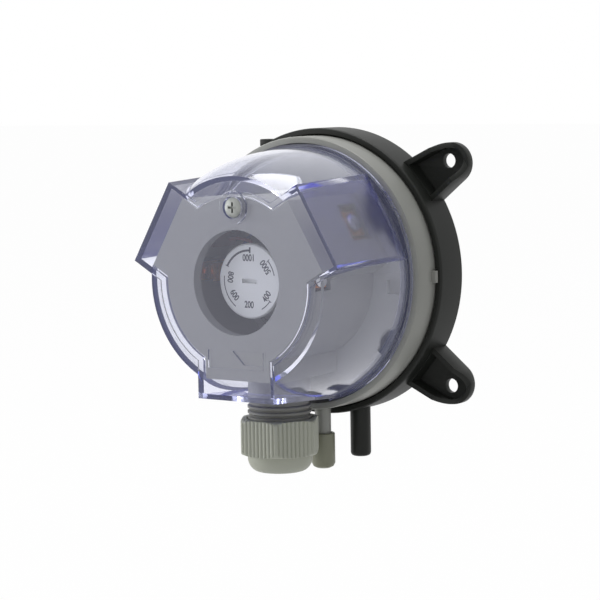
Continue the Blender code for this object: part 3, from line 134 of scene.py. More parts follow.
def mouldedSkin():
    # Faint colour drift, satin patches and the fine spark-eroded grain of a moulded face
    group, given, out = newGroup(
        "mouldedSkin",
        [
            ("Color", "NodeSocketColor", (0.5, 0.5, 0.5, 1)),
            ("Drift", "NodeSocketFloat", 0.06),
            ("Roughness", "NodeSocketFloat", 0.45),
            ("Satin Patches", "NodeSocketFloat", 0.08),
            ("Grain Size", "NodeSocketFloat", 2600.0),
            ("Grain Depth", "NodeSocketFloat", 0.2),
        ],
        [("Color", "NodeSocketColor"), ("Roughness", "NodeSocketFloat"), ("Normal", "NodeSocketVector")],
    )
    link = group.links.new
    where = addNode(group, "ShaderNodeTexCoord").outputs["Object"]
    cloud = addNode(group, "ShaderNodeTexNoise", Scale=55.0, Detail=3.0, Roughness=0.6)
    grain = addNode(group, "ShaderNodeTexNoise", Detail=2.0, Roughness=0.5)
    link(where, cloud.inputs["Vector"])
    link(where, grain.inputs["Vector"])
    link(given.outputs["Grain Size"], grain.inputs["Scale"])
    centred = addNode(group, "ShaderNodeMath", operation="SUBTRACT")
    centred.inputs[1].default_value = 0.5
    link(cloud.outputs["Fac"], centred.inputs[0])
    shade = addNode(group, "ShaderNodeMath", operation="MULTIPLY_ADD")
    link(centred.outputs[0], shade.inputs[0])
    link(given.outputs["Drift"], shade.inputs[1])
    shade.inputs[2].default_value = 1.0
    tint = addNode(group, "ShaderNodeVectorMath", operation="SCALE")
    link(given.outputs["Color"], tint.inputs[0])
    link(shade.outputs[0], tint.inputs["Scale"])
    link(tint.outputs[0], out.inputs["Color"])
    satin = addNode(group, "ShaderNodeMath", operation="MULTIPLY_ADD")
    link(centred.outputs[0], satin.inputs[0])
    link(given.outputs["Satin Patches"], satin.inputs[1])
    link(given.outputs["Roughness"], satin.inputs[2])
    link(satin.outputs[0], out.inputs["Roughness"])
    bump = addNode(group, "ShaderNodeBump", Distance=0.00003)
    link(given.outputs["Grain Depth"], bump.inputs["Strength"])
    link(grain.outputs["Fac"], bump.inputs["Height"])
    link(bump.outputs["Normal"], out.inputs["Normal"])
    return group


def drawnMetal():
    # Rolling marks along one direction, with the tone and gloss they bring
    group, given, out = newGroup(
        "drawnMetal",
        [
            ("Color", "NodeSocketColor", (0.6, 0.6, 0.6, 1)),
            ("Dark Color", "NodeSocketColor", (0.4, 0.4, 0.4, 1)),
            ("Roughness", "NodeSocketFloat", 0.3),
            ("Mark Stretch", "NodeSocketFloat", 9.0),
            ("Mark Depth", "NodeSocketFloat", 0.15),
        ],
        [("Color", "NodeSocketColor"), ("Roughness", "NodeSocketFloat"), ("Normal", "NodeSocketVector")],
    )
    link = group.links.new
    where = addNode(group, "ShaderNodeTexCoord").outputs["Object"]
    marksPerMetre = 400.0
    stretch = addNode(group, "ShaderNodeCombineXYZ", X=marksPerMetre, Y=marksPerMetre)
    squeeze = addNode(group, "ShaderNodeMath", operation="MULTIPLY")
    squeeze.inputs[0].default_value = marksPerMetre
    link(given.outputs["Mark Stretch"], squeeze.inputs[1])
    link(squeeze.outputs[0], stretch.inputs["Z"])
    along = addNode(group, "ShaderNodeVectorMath", operation="MULTIPLY")
    link(where, along.inputs[0])
    link(stretch.outputs[0], along.inputs[1])
    marks = addNode(group, "ShaderNodeTexNoise", Scale=1.0, Detail=3.0, Roughness=0.65)
    link(along.outputs[0], marks.inputs["Vector"])
    tarnish = addNode(group, "ShaderNodeTexNoise", Scale=260.0, Detail=4.0, Roughness=0.6)
    link(where, tarnish.inputs["Vector"])
    spread = addNode(group, "ShaderNodeMapRange", From_Min=0.42, From_Max=0.68)
    link(tarnish.outputs["Fac"], spread.inputs["Value"])
    blend = addNode(group, "ShaderNodeMix", data_type="RGBA")
    link(spread.outputs["Result"], blend.inputs[0])
    link(given.outputs["Color"], blend.inputs[6])
    link(given.outputs["Dark Color"], blend.inputs[7])
    link(blend.outputs[2], out.inputs["Color"])
    gloss = addNode(group, "ShaderNodeMath", operation="MULTIPLY_ADD")
    link(marks.outputs["Fac"], gloss.inputs[0])
    gloss.inputs[1].default_value = 0.16  # how much duller the marks are
    link(given.outputs["Roughness"], gloss.inputs[2])
    link(gloss.outputs[0], out.inputs["Roughness"])
    bump = addNode(group, "ShaderNodeBump", Distance=0.00002)
    link(given.outputs["Mark Depth"], bump.inputs["Strength"])
    link(marks.outputs["Fac"], bump.inputs["Height"])
    link(bump.outputs["Normal"], out.inputs["Normal"])
    return group


mouldedSkinGroup = mouldedSkin()
drawnMetalGroup = drawnMetal()
print("shared node groups built")


# Finishes
def newMaterial(name):
    material = bpy.data.materials.new(name)
    material.use_nodes = True
    tree = material.node_tree
    return material, tree, tree.nodes["Principled BSDF"]


def plasticFinish(name, look):
    material, tree, shader = newMaterial(name)
    skin = tree.nodes.new("ShaderNodeGroup")
    skin.node_tree = mouldedSkinGroup
    skin.inputs["Color"].default_value = (*look["color"], 1)
    for label in ("Drift", "Roughness", "Satin Patches", "Grain Size", "Grain Depth"):
        if label in look:
            skin.inputs[label].default_value = look[label]
    tree.links.new(skin.outputs["Color"], shader.inputs["Base Color"])
    tree.links.new(skin.outputs["Roughness"], shader.inputs["Roughness"])
    tree.links.new(skin.outputs["Normal"], shader.inputs["Normal"])
    if "gloss" in look:
        shader.inputs["Specular IOR Level"].default_value = look["gloss"]
    return material


def metalFinish(name, look):
    material, tree, shader = newMaterial(name)
    drawn = tree.nodes.new("ShaderNodeGroup")
    drawn.node_tree = drawnMetalGroup
    drawn.inputs["Color"].default_value = (*look["color"], 1)
    drawn.inputs["Dark Color"].default_value = (*look["darkColor"], 1)
    drawn.inputs["Roughness"].default_value = look["Roughness"]
    tree.links.new(drawn.outputs["Color"], shader.inputs["Base Color"])
    tree.links.new(drawn.outputs["Roughness"], shader.inputs["Roughness"])
    tree.links.new(drawn.outputs["Normal"], shader.inputs["Normal"])
    shader.inputs["Metallic"].default_value = 1.0
    return material


clearLook = {
    "color": (0.95, 0.952, 0.97),
    "roughness": 0.025,
    "ior": 1.52,
    "bandColor": (0.4, 0.46, 0.95),
    "bandDensity": 34.0,
    "lampColor": (0.9, 0.91, 0.95),
    # the glow colour and glow strength are a painted glow, emission on the clear wall that stands in for
    # light along its edges
    "paintedGlowColor": (0.42, 0.45, 0.74),
    "glow": 0.032,
}
frostedLook = {
    **clearLook,
    "roughness": 0.17,
    "bandDensity": 18.0,
    # the frosted faces carry a weaker, greyer painted glow
    "paintedGlowColor": (0.43, 0.44, 0.56),
    "glow": 0.015,
}


def clearFinish(name, look):
    # Clear moulding: its own colour gathers where light runs along the wall, and lamps reach what is behind
    material, tree, shader = newMaterial(name)
    shader.inputs["Base Color"].default_value = (*look["color"], 1)
    shader.inputs["Roughness"].default_value = look["roughness"]
    shader.inputs["IOR"].default_value = look["ior"]
    shader.inputs["Transmission Weight"].default_value = 1.0
    # a painted glow: faint lavender emission on the wall stands in for the light seen along its edges
    shader.inputs["Emission Color"].default_value = (*look["paintedGlowColor"], 1)
    shader.inputs["Emission Strength"].default_value = look["glow"]
    material.cycles.emission_sampling = "NONE"
    out = tree.nodes["Material Output"]
    lampWay = tree.nodes.new("ShaderNodeBsdfTransparent")
    lampWay.inputs["Color"].default_value = (*look["lampColor"], 1)
    path = tree.nodes.new("ShaderNodeLightPath")
    either = tree.nodes.new("ShaderNodeMixShader")
    tree.links.new(path.outputs["Is Shadow Ray"], either.inputs["Fac"])
    tree.links.new(shader.outputs["BSDF"], either.inputs[1])
    tree.links.new(lampWay.outputs["BSDF"], either.inputs[2])
    tree.links.new(either.outputs["Shader"], out.inputs["Surface"])
    tinted = tree.nodes.new("ShaderNodeVolumeAbsorption")
    tinted.inputs["Color"].default_value = (*look["bandColor"], 1)
    tinted.inputs["Density"].default_value = look["bandDensity"]
    tree.links.new(tinted.outputs["Volume"], out.inputs["Volume"])
    return material


plasticLooks = {
    "blackMoulding": {
        "color": (0.015, 0.0165, 0.0145), "Roughness": 0.45, "Drift": 0.25, "Grain Depth": 0.35, "gloss": 0.2,
    },
    "greyMoulding": {"color": (0.295, 0.3, 0.28), "Roughness": 0.42, "Drift": 0.06},
    "shroudMoulding": {"color": (0.205, 0.205, 0.19), "Roughness": 0.5, "Drift": 0.05},
    "nutMoulding": {"color": (0.43, 0.445, 0.375), "Roughness": 0.5, "Drift": 0.08, "Grain Depth": 0.3},
    "capMoulding": {"color": (0.215, 0.22, 0.16), "Roughness": 0.5, "Drift": 0.1},
    "dialMoulding": {"color": (0.64, 0.65, 0.62), "Roughness": 0.38, "Drift": 0.04},
    "plungerMoulding": {"color": (0.72, 0.72, 0.68), "Roughness": 0.35, "Drift": 0.04},
    "switchMoulding": {"color": (0.02, 0.02, 0.022), "Roughness": 0.4, "Drift": 0.2},
    "terminalBoard": {"color": (0.13, 0.055, 0.035), "Roughness": 0.5, "Drift": 0.5, "Grain Size": 1400.0},
    "sealRubber": {"color": (0.02, 0.02, 0.021), "Roughness": 0.7, "Drift": 0.3, "Grain Depth": 0.5},
    "printInk": {"color": (0.012, 0.012, 0.014), "Roughness": 0.55, "Drift": 0.2},
    "leadRed": {"color": (0.36, 0.03, 0.025), "Roughness": 0.4, "Drift": 0.1},
    "leadBlue": {"color": (0.03, 0.06, 0.3), "Roughness": 0.4, "Drift": 0.1},
    "leadBlack": {"color": (0.02, 0.02, 0.02), "Roughness": 0.4, "Drift": 0.1},
}
metalLooks = {
    "copperStrip": {"color": (0.83, 0.36, 0.13), "darkColor": (0.5, 0.19, 0.07), "Roughness": 0.28},
    "brassAdjuster": {"color": (0.78, 0.58, 0.24), "darkColor": (0.55, 0.38, 0.14), "Roughness": 0.3},
    "zincPlate": {"color": (0.62, 0.62, 0.6), "darkColor": (0.46, 0.46, 0.45), "Roughness": 0.3},
    "dullPlate": {"color": (0.30, 0.31, 0.30), "darkColor": (0.16, 0.17, 0.165), "Roughness": 0.42},
}
finishes = {name: plasticFinish(name, look) for name, look in plasticLooks.items()}
finishes.update({name: metalFinish(name, look) for name, look in metalLooks.items()})
finishes["clearMoulding"] = clearFinish("clearMoulding", clearLook)
finishes["frostedMoulding"] = clearFinish("frostedMoulding", frostedLook)

nodeFinishes = {
    "blackMoulding": ["base_chamber"],
    "greyMoulding": ["upper_housing"],
    "shroudMoulding": ["inner_shroud"],
    "nutMoulding": ["gland_nut"],
    "capMoulding": ["port_cap"],
    "dialMoulding": ["setpoint_dial"],
    "plungerMoulding": ["plunger"],
    "switchMoulding": ["switch_base"],
    "terminalBoard": ["terminal_board_no", "terminal_board_nc", "terminal_board_com"],
    "sealRubber": ["diaphragm", "cover_seal", "gland_seal"],
    "leadRed": ["lead_nc"],
    "leadBlue": ["lead_no"],
    "leadBlack": ["lead_com"],
    "copperStrip": [
        "contact_lever", "fixed_contact_nc", "fixed_contact_no",
        "terminal_plate_no", "terminal_plate_nc", "terminal_plate_com",
    ],
    "brassAdjuster": ["spring_adjuster"],
    "clearMoulding": ["cover"],
    "zincPlate": [
        "housing_screw_1", "housing_screw_2", "housing_screw_3", "housing_screw_4",
        "diaphragm_plate", "range_spring", "lever_pin",
        "terminal_screw_no", "terminal_screw_nc", "terminal_screw_com",
    ],
    "dullPlate": ["cover_screw"],
}
for finish, names in nodeFinishes.items():
    for name in names:
        nodes[name].data.materials.clear()
        nodes[name].data.materials.append(finishes[finish])
print("finishes given to", sum(len(names) for names in nodeFinishes.values()), "nodes")


# Carried-over nodes keep their mesh: a modifier joins the facets and shades round faces smooth
def smoothShading(name, angle, weld):
    group = bpy.data.node_groups.new(name, "GeometryNodeTree")
    group.interface.new_socket("Geometry", in_out="INPUT", socket_type="NodeSocketGeometry")
    group.interface.new_socket("Geometry", in_out="OUTPUT", socket_type="NodeSocketGeometry")
    given = group.nodes.new("NodeGroupInput")
    out = group.nodes.new("NodeGroupOutput")
    merge = group.nodes.new("GeometryNodeMergeByDistance")
    merge.inputs["Distance"].default_value = weld
    soften = group.nodes.new("GeometryNodeSetShadeSmooth")
    crisp = group.nodes.new("GeometryNodeSetShadeSmooth")
    crisp.domain = "EDGE"
    crisp.inputs["Shade Smooth"].default_value = False
    bend = group.nodes.new("GeometryNodeInputMeshEdgeAngle")
    compare = group.nodes.new("FunctionNodeCompare")
    compare.operation = "GREATER_THAN"
    compare.inputs[1].default_value = angle
    group.links.new(given.outputs[0], merge.inputs["Geometry"])
    group.links.new(merge.outputs["Geometry"], soften.inputs["Geometry"])
    group.links.new(soften.outputs["Geometry"], crisp.inputs["Geometry"])
    group.links.new(bend.outputs["Unsigned Angle"], compare.inputs[0])
    group.links.new(compare.outputs["Result"], crisp.inputs["Selection"])
    group.links.new(crisp.outputs["Geometry"], out.inputs[0])
    return group


smoothShadingGroup = smoothShading("smoothShading", angle=math.radians(32), weld=0.002 * mm)
for node in nodes.values():
    node.modifiers.new("smoothShading", "NODES").node_group = smoothShadingGroup
print("round faces smoothed")


# Mesh helpers
def meshPiece(name, points, faces, finish, sharpAngle=35):
    mesh = bpy.data.meshes.new(name)
    mesh.from_pydata([tuple(point) for point in points], [], faces)
    work = bmesh.new()
    work.from_mesh(mesh)
    bmesh.ops.recalc_face_normals(work, faces=work.faces)
    if work.calc_volume(signed=True) < 0:
        bmesh.ops.reverse_faces(work, faces=work.faces)
    work.to_mesh(mesh)
    work.free()
    mesh.shade_smooth()
    mesh.set_sharp_from_angle(angle=math.radians(sharpAngle))
    mesh.materials.append(finishes[finish])
    piece = bpy.data.objects.new(name, mesh)
    bpy.context.scene.collection.objects.link(piece)
    return piece


def front(x, depth, z):
    # A point in metres from millimetres: across, forwards of the wall, and up
    return Vector((x * mm, -depth * mm, z * mm))


def turned(along, across, angle):
    # (x, z) of a point so far along a spoke and so far beside it
    cos, sin = math.cos(angle), math.sin(angle)
    return along * cos - across * sin, along * sin + across * cos


def between(first, last, share):
    return first + (last - first) * share


def swept(first, pull, last, share):
    # A quadratic sweep that leans towards a point between its two ends
    return (1 - share) ** 2 * first + 2 * share * (1 - share) * pull + share ** 2 * last


def loft(name, rings, finish, closed=False, sharpAngle=35):
    # Quads between rings of equal length, capped at both ends or closed round
    count = len(rings[0])
    points = [point for ring in rings for point in ring]
    faces = []
    for level in range(len(rings) if closed else len(rings) - 1):
        lower = level * count
        upper = (level + 1) % len(rings) * count
        for index in range(count):
            after = (index + 1) % count
            faces.append((lower + index, lower + after, upper + after, upper + index))
    if not closed:
        faces.append(tuple(range(count)))
        faces.append(tuple(range(len(points) - 1, len(points) - count - 1, -1)))
    return meshPiece(name, points, faces, finish, sharpAngle)


def prism(name, outline, depths, finish):
    # A straight block between two depths, from (x, z) points
    return loft(name, [[front(x, depth, z) for x, z in outline] for depth in depths], finish)


def settled(piece, sharpAngle=35):
    # The piece with its modifiers worked into its mesh
    bpy.context.view_layer.update()
    mesh = bpy.data.meshes.new_from_object(piece.evaluated_get(bpy.context.evaluated_depsgraph_get()))
    piece.modifiers.clear()
    piece.data = mesh
    mesh.shade_smooth()
    mesh.set_sharp_from_angle(angle=math.radians(sharpAngle))
    return piece


def roundedEdges(piece, width, segments=3):
    bevel = piece.modifiers.new("roundedEdges", "BEVEL")
    bevel.limit_method = "ANGLE"
    bevel.angle_limit = math.radians(25)
    bevel.width = width * mm
    bevel.segments = segments
    return settled(piece, sharpAngle=50)


def combined(piece, operation, *others):
    for other in others:
        boolean = piece.modifiers.new(other.name, "BOOLEAN")
        boolean.operation = operation
        boolean.object = other
    settled(piece)
    for other in others:
        bpy.data.objects.remove(other)
    return piece


def turnedRings(profile, steps, centre=(0.0, 0.0), start=0.0, upright=False):
    # Rings from (radius, depth) points about a forward axis at (x, z),
    # or from (radius, z) points about an upright axis at (x, depth)
    rings = []
    for radius, level in profile:
        ring = []
        for step in range(steps):
            turn = start + 2 * math.pi * step / steps
            first = centre[0] + radius * math.cos(turn)
            second = centre[1] + radius * math.sin(turn)
            ring.append(front(first, second, level) if upright else front(first, level, second))
        rings.append(ring)
    return rings


def turnedPart(name, finish, profile, steps, centre=(0.0, 0.0), start=0.0, upright=False):
    return loft(name, turnedRings(profile, steps, centre, start, upright), finish)


def boxCentre(name):
    # (x, z) of the middle of a node's box
    low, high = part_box(name)
    return (low.x + high.x) / 2 / mm, (low.z + high.z) / 2 / mm


spare = 1.0  # how far a cut runs past the face that it opens


# Base moulding: a round dish with a rolled lip, two hollow ears, a tab and the rear hose port
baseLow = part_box("base_chamber")[0]
baseForm = {
    "steps": 200,
    "lipRound": 0.55,
    "lipStretch": 1.6,  # the lip rolls this much further back than in
    "lipSteps": 4,
    "lipChamfer": 0.25,
    "rimInner": 40.6,
    "shelf": 6.5,
    "chamber": 33.0,
    "floor": 2.5,
    "screwHead": 3.2,
    "screwShank": 1.8,
    "screwSink": 0.7,
    "screwConeEnd": 2.1,
    "screwHoleEnd": 9.0,
    "earAngle": 39.5,
    "earHoleReach": 51.5,
    "earHole": 2.1,
    "earRoot": 38.0,
    "earTip": 51.65,
    "earDrop": 1.0,
    "earTipRadius": 6.0,
    "earTipSteps": 24,
    "earRootOuter": 8.6,
    "earWall": 1.5,
    "earFloor": 2.0,
    "earHeight": 7.0,
    "earPocketGap": 0.1,
    "earCutWidth": 28.0,
    "earFall": (0.8, 1.1),  # half length and drop of the walls' first slope
    "earKnee": 3.2,
    "earToe": (2.0, 0.5),
    "earEdge": 0.25,
    "tab": ((-21.0, 7.0, 37.05), (-17.0, 11.4, 39.2)),
    "tabEdge": 0.3,
    "portX": 10.2,
    "portDepth": 5.75,
    "portRadius": 3.05,
    "portRoot": -39.9,
    "portNose": ((0.0, 1.1), (0.12, 0.6), (0.4, 0.22), (0.9, 0.0)),  # in from the side, up from the end
    "portBore": 1.2,
    "portBoreChamfer": 0.2,
    "portBoreLength": 6.0,
}


def earOutline(form, side, inset, rootReach):
    # The inner side runs straight out and the outer side leans in to the round tip
    radius = form["earTipRadius"] - inset
    outerTip = form["earTipRadius"] - form["earDrop"]
    share = (form["earTip"] - rootReach) / (form["earTip"] - form["earRoot"])
    outerRoot = outerTip + (form["earRootOuter"] - outerTip) * share - inset
    lean = math.atan2(outerRoot - outerTip + inset, form["earTip"] - rootReach)
    points = [(rootReach, -form["earDrop"] - radius)]
    for step in range(form["earTipSteps"] + 1):
        turn = -math.pi / 2 + (math.pi - lean) * step / form["earTipSteps"]
        reach = form["earTip"] + radius * math.cos(turn)
        points.append((reach, -form["earDrop"] + radius * math.sin(turn)))
    points.append((rootReach, outerRoot))
    return [turned(u, v * side, math.radians(form["earAngle"]) * side) for u, v in points]


def buildEar(form, side):
    turn = math.radians(form["earAngle"]) * side
    high, floor = form["earHeight"], form["earFloor"]
    pocketRoot = -baseLow.x / mm + form["earPocketGap"]
    ear = prism("earBlock", earOutline(form, side, 0.0, form["earRoot"]), (0.0, high), "blackMoulding")
    outline = earOutline(form, side, form["earWall"], pocketRoot)
    pocket = prism("earPocket", outline, (floor, high + 2 * spare), "blackMoulding")

    # what lies above the falling edge of the walls
    halfFall, firstDrop = form["earFall"]
    toeInset, toeHeight = form["earToe"]
    knee = form["earKnee"]
    middle = form["earTip"]
    tip = middle + form["earTipRadius"]
    above = high + 4 * spare
    beyond = tip + 2 * spare
    slope = [
        (middle - halfFall, above), (middle - halfFall, high), (middle + halfFall, high - firstDrop),
        (tip - knee, high - knee), (tip - toeInset, floor + toeHeight),
        (beyond, floor + toeHeight), (beyond, above),
    ]
    rings = []
    for across in (-form["earCutWidth"] / 2, form["earCutWidth"] / 2):
        corners = [(turned(along, across, turn), depth) for along, depth in slope]
        rings.append([front(x, depth, z) for (x, z), depth in corners])
    fall = loft("earFall", rings, "blackMoulding")

    profile = [(form["earHole"], -spare), (form["earHole"], floor + 2 * spare)]
    centre = turned(form["earHoleReach"], 0.0, turn)
    hole = turnedPart("earHole", "blackMoulding", profile, steps=48, centre=centre)
    combined(ear, "DIFFERENCE", pocket, fall, hole)
    return roundedEdges(ear, form["earEdge"], segments=2)


def buildBase(form):
    ringRadius = -baseLow.x / mm
    lip = -baseLow.y / mm
    roll = form["lipRound"]
    depthRoll = roll * form["lipStretch"]
    inner, chamfer = form["rimInner"], form["lipChamfer"]
    profile = [(ringRadius, 0.0), (ringRadius, lip - depthRoll)]
    for step in range(1, form["lipSteps"] + 1):
        turn = math.radians(90 * step / form["lipSteps"])
        profile.append((ringRadius - roll * (1 - math.cos(turn)), lip - depthRoll * (1 - math.sin(turn))))
    profile += [
        (inner + chamfer, lip), (inner, lip - chamfer), (inner, form["shelf"]),
        (form["chamber"], form["shelf"]), (form["chamber"], form["floor"]),
    ]
    base = turnedPart("baseMoulding", "blackMoulding", profile, steps=form["steps"])

    (x0, d0, z0), (x1, d1, z1) = form["tab"]
    corners = [(x0, z0), (x1, z0), (x1, z1), (x0, z1)]
    tab = prism("baseTab", corners, (d0, d1), "blackMoulding")
    roundedEdges(tab, form["tabEdge"], segments=2)

    end = baseLow.z / mm
    radius, bore, chamfer = form["portRadius"], form["portBore"], form["portBoreChamfer"]
    profile = [(radius, form["portRoot"])]
    profile += [(radius - inset, end + rise) for inset, rise in form["portNose"]]
    profile += [(bore + chamfer, end), (bore, end + chamfer), (bore, end + form["portBoreLength"])]
    centre = (form["portX"], form["portDepth"])
    port = turnedPart("rearPort", "blackMoulding", profile, steps=48, centre=centre, start=0.02, upright=True)

    screwHoles = []
    for number in (1, 2, 3, 4):
        sunk = [
            (form["screwHead"], -spare), (form["screwHead"], form["screwSink"]),
            (form["screwShank"], form["screwConeEnd"]), (form["screwShank"], form["screwHoleEnd"]),
        ]
        centre = boxCentre(f"housing_screw_{number}")
        screwHoles.append(turnedPart(f"screwHole{number}", "blackMoulding", sunk, steps=40, centre=centre))
    combined(base, "UNION", buildEar(form, 1), buildEar(form, -1), tab, port)
    combined(base, "DIFFERENCE", *screwHoles)
    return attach(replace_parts(base, "base_chamber"), "housing")


buildBase(baseForm)
print("base moulding built")


# Clear cover: a stepped dome with three flat-faced lobes, a screw boss and a label recess
coverLow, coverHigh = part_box("cover")
coverForm = {
    "wall": 1.4,
    "bossHeight": 0.6,
    "stepHeight": 1.0,
    "discRadius": 26.2,
    "shoulderRadius": 30.2,
    "kneeRadius": 35.2,
    "kneeSetback": 9.5,
    "kneePull": (1.4, 1.0),  # how far outside the knee the side's sweep aims, outwards and forwards
    "ledgeWidth": 0.7,
    "ledgeHeight": 2.4,
    "mouthGap": 0.05,
    "mouthRise": 0.5,
    "lobeAngles": (30, 150, 270),
    "lobeFrontReach": 33.5,
    "lobeRearReach": 35.5,
    "lobeFrontHalfWidth": 13.2,
    "lobeRearHalfWidth": 13.8,
    "arcSteps": 60,
    "sideLevels": 10,
    "edgeRadius": 0.45,
    "hollowEdgeRadius": 0.27,
    "lap": 0.4,
    "bossRadius": 4.8,
    "bossRoot": 0.7,
    "bossShoulder": 0.4,
    "bossChamfer": 0.25,
    "boreRadius": 3.2,
    "boreSeat": 0.8,
    "shankRadius": 1.7,
    "slotRadius": 9.7,
    "slotRear": 10.0,
    "slotHeights": (-30.0, -39.5),
    "slotSteps": 40,
    "frostDepth": 0.4,
    "frostFacing": 0.98,
}


def coverRings(form, inset, rear):
    frontDepth = -coverLow.y / mm - form["bossHeight"] - inset
    stepDepth = frontDepth - form["stepHeight"]
    ledgeDepth = -coverHigh.y / mm + form["ledgeHeight"]
    span = frontDepth + inset - ledgeDepth

    def ring(radius, arcDepth, lobeDepth):
        share = (lobeDepth - ledgeDepth) / span
        reach = between(form["lobeRearReach"], form["lobeFrontReach"], share) - inset
        half = between(form["lobeRearHalfWidth"], form["lobeFrontHalfWidth"], share) - inset
        radius -= inset
        halfAngle = math.asin(half / radius)
        sweep = math.radians(120) - 2 * halfAngle
        points = []
        for angle in form["lobeAngles"]:
            turn = math.radians(angle)
            for side in (-half, half):
                x, z = turned(reach, side, turn)
                points.append(front(x, lobeDepth, z))
            for step in range(form["arcSteps"] + 1):
                way = turn + halfAngle + sweep * step / form["arcSteps"]
                points.append(front(radius * math.cos(way), arcDepth, radius * math.sin(way)))
        return points

    rearRadius = coverHigh.x / mm - form["ledgeWidth"]
    kneeDepth = frontDepth - form["kneeSetback"] + inset / 2
    pullOut, pullForward = form["kneePull"]
    rings = []
    for level in range(form["sideLevels"] + 1):
        # the side leaves the rear rim straight and leans in towards the shoulder
        share = level / form["sideLevels"]
        radius = swept(rearRadius, form["kneeRadius"] + pullOut, form["shoulderRadius"], share)
        depth = swept(rear, kneeDepth + pullForward, stepDepth, share)
        rings.append(ring(radius, depth, between(rear, stepDepth, share)))
    rings.append(ring(form["discRadius"], stepDepth, between(stepDepth, frontDepth, 0.5)))
    rings.append(ring(form["discRadius"], frontDepth, frontDepth))
    return rings


def buildCover(form):
    ledgeRadius = coverHigh.x / mm
    tongueDepth = -coverHigh.y / mm
    ledgeDepth = tongueDepth + form["ledgeHeight"]
    frontDepth = -coverLow.y / mm - form["bossHeight"]
    shell = loft("clearCover", coverRings(form, 0.0, ledgeDepth - form["lap"]), "clearMoulding")
    roundedEdges(shell, form["edgeRadius"])
    hollow = loft("coverHollow", coverRings(form, form["wall"], ledgeDepth), "clearMoulding")
    roundedEdges(hollow, form["hollowEdgeRadius"])
    # each turned part starts at an angle of its own, so that no two walls meet edge on edge
    profile = [(ledgeRadius, tongueDepth), (ledgeRadius, ledgeDepth)]
    ledge = turnedPart("coverLedge", "clearMoulding", profile, steps=180, start=0.01)
    mouthRadius = form["lobeRearReach"] - form["wall"] - form["mouthGap"]
    profile = [(mouthRadius, tongueDepth - spare), (mouthRadius, ledgeDepth + form["mouthRise"])]
    mouth = turnedPart("coverMouth", "clearMoulding", profile, steps=170, start=0.02)

    screw = boxCentre("cover_screw")
    radius = form["bossRadius"]
    profile = [
        (radius, frontDepth - form["bossRoot"]), (radius, frontDepth + form["bossShoulder"]),
        (radius - form["bossChamfer"], frontDepth + form["bossHeight"]),
    ]
    boss = turnedPart("coverBoss", "clearMoulding", profile, steps=72, centre=screw)
    seat = frontDepth - form["boreSeat"]
    profile = [
        (form["shankRadius"], frontDepth - 3 * spare), (form["shankRadius"], seat),
        (form["boreRadius"], seat + 0.01), (form["boreRadius"], frontDepth + 2 * spare),
    ]
    bore = turnedPart("coverBore", "clearMoulding", profile, steps=64, centre=screw, start=0.03)

    combined(shell, "UNION", ledge)
    combined(shell, "DIFFERENCE", hollow, mouth, neckSlot(form), *labelRecess(labelForm, frontDepth))
    combined(shell, "UNION", boss)
    combined(shell, "DIFFERENCE", bore)
    frostLobes(shell, form)
    soften = shell.modifiers.new("faceWeights", "WEIGHTED_NORMAL")
    soften.keep_sharp = True
    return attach(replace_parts(shell, "cover"), "cover_body")


def frostLobes(shell, form):
    # The flat outer faces of the lobes have a fine matt texture
    shell.data.materials.append(finishes["frostedMoulding"])
    least = (form["lobeFrontReach"] - form["frostDepth"]) * mm
    for angle in form["lobeAngles"]:
        x, z = turned(1.0, 0.0, math.radians(angle))
        outward = Vector((x, 0, z))
        for polygon in shell.data.polygons:
            facing = polygon.normal.dot(outward) > form["frostFacing"]
            if facing and polygon.center.dot(outward) > least:
                polygon.material_index = 1


def neckSlot(form):
    # The U-shaped opening that lets the cover drop over the gland neck
    nutLow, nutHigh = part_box("gland_nut")
    neckDepth = -(nutLow.y + nutHigh.y) / 2 / mm
    radius = form["slotRadius"]
    outline = [(-radius, form["slotRear"]), (radius, form["slotRear"])]
    for step in range(form["slotSteps"] + 1):
        turn = math.pi * step / form["slotSteps"]
        outline.append((radius * math.cos(turn), neckDepth + radius * math.sin(turn)))
    rings = [[front(x, depth, z) for x, depth in outline] for z in form["slotHeights"]]
    return loft("neckSlot", rings, "clearMoulding")


labelForm = {
    "left": -9.4,
    "right": 9.8,
    "top": -19.2,
    "foot": -23.1,
    "bottom": -24.4,
    "slantTop": -1.1,
    "slantFoot": 3.0,
    "shallow": 0.35,
    "deep": 0.8,
}


def labelRecess(form, frontDepth):
    # Two pockets that meet along a slanted step, with a narrow ledge under the deeper one
    shallow = [
        (form["left"], form["top"]), (form["slantTop"], form["top"]), (form["slantFoot"], form["foot"]),
        (form["right"], form["foot"]), (form["right"], form["bottom"]), (form["left"], form["bottom"]),
    ]
    deep = [
        (form["slantTop"], form["top"]), (form["right"], form["top"]),
        (form["right"], form["foot"]), (form["slantFoot"], form["foot"]),
    ]
    pockets = []
    for name, outline in (("shallow", shallow), ("deep", deep)):
        depths = (frontDepth - form[name], frontDepth + spare)
        pockets.append(prism(f"{name}Pocket", outline, depths, "clearMoulding"))
    return pockets


buildCover(coverForm)
print("clear cover built")


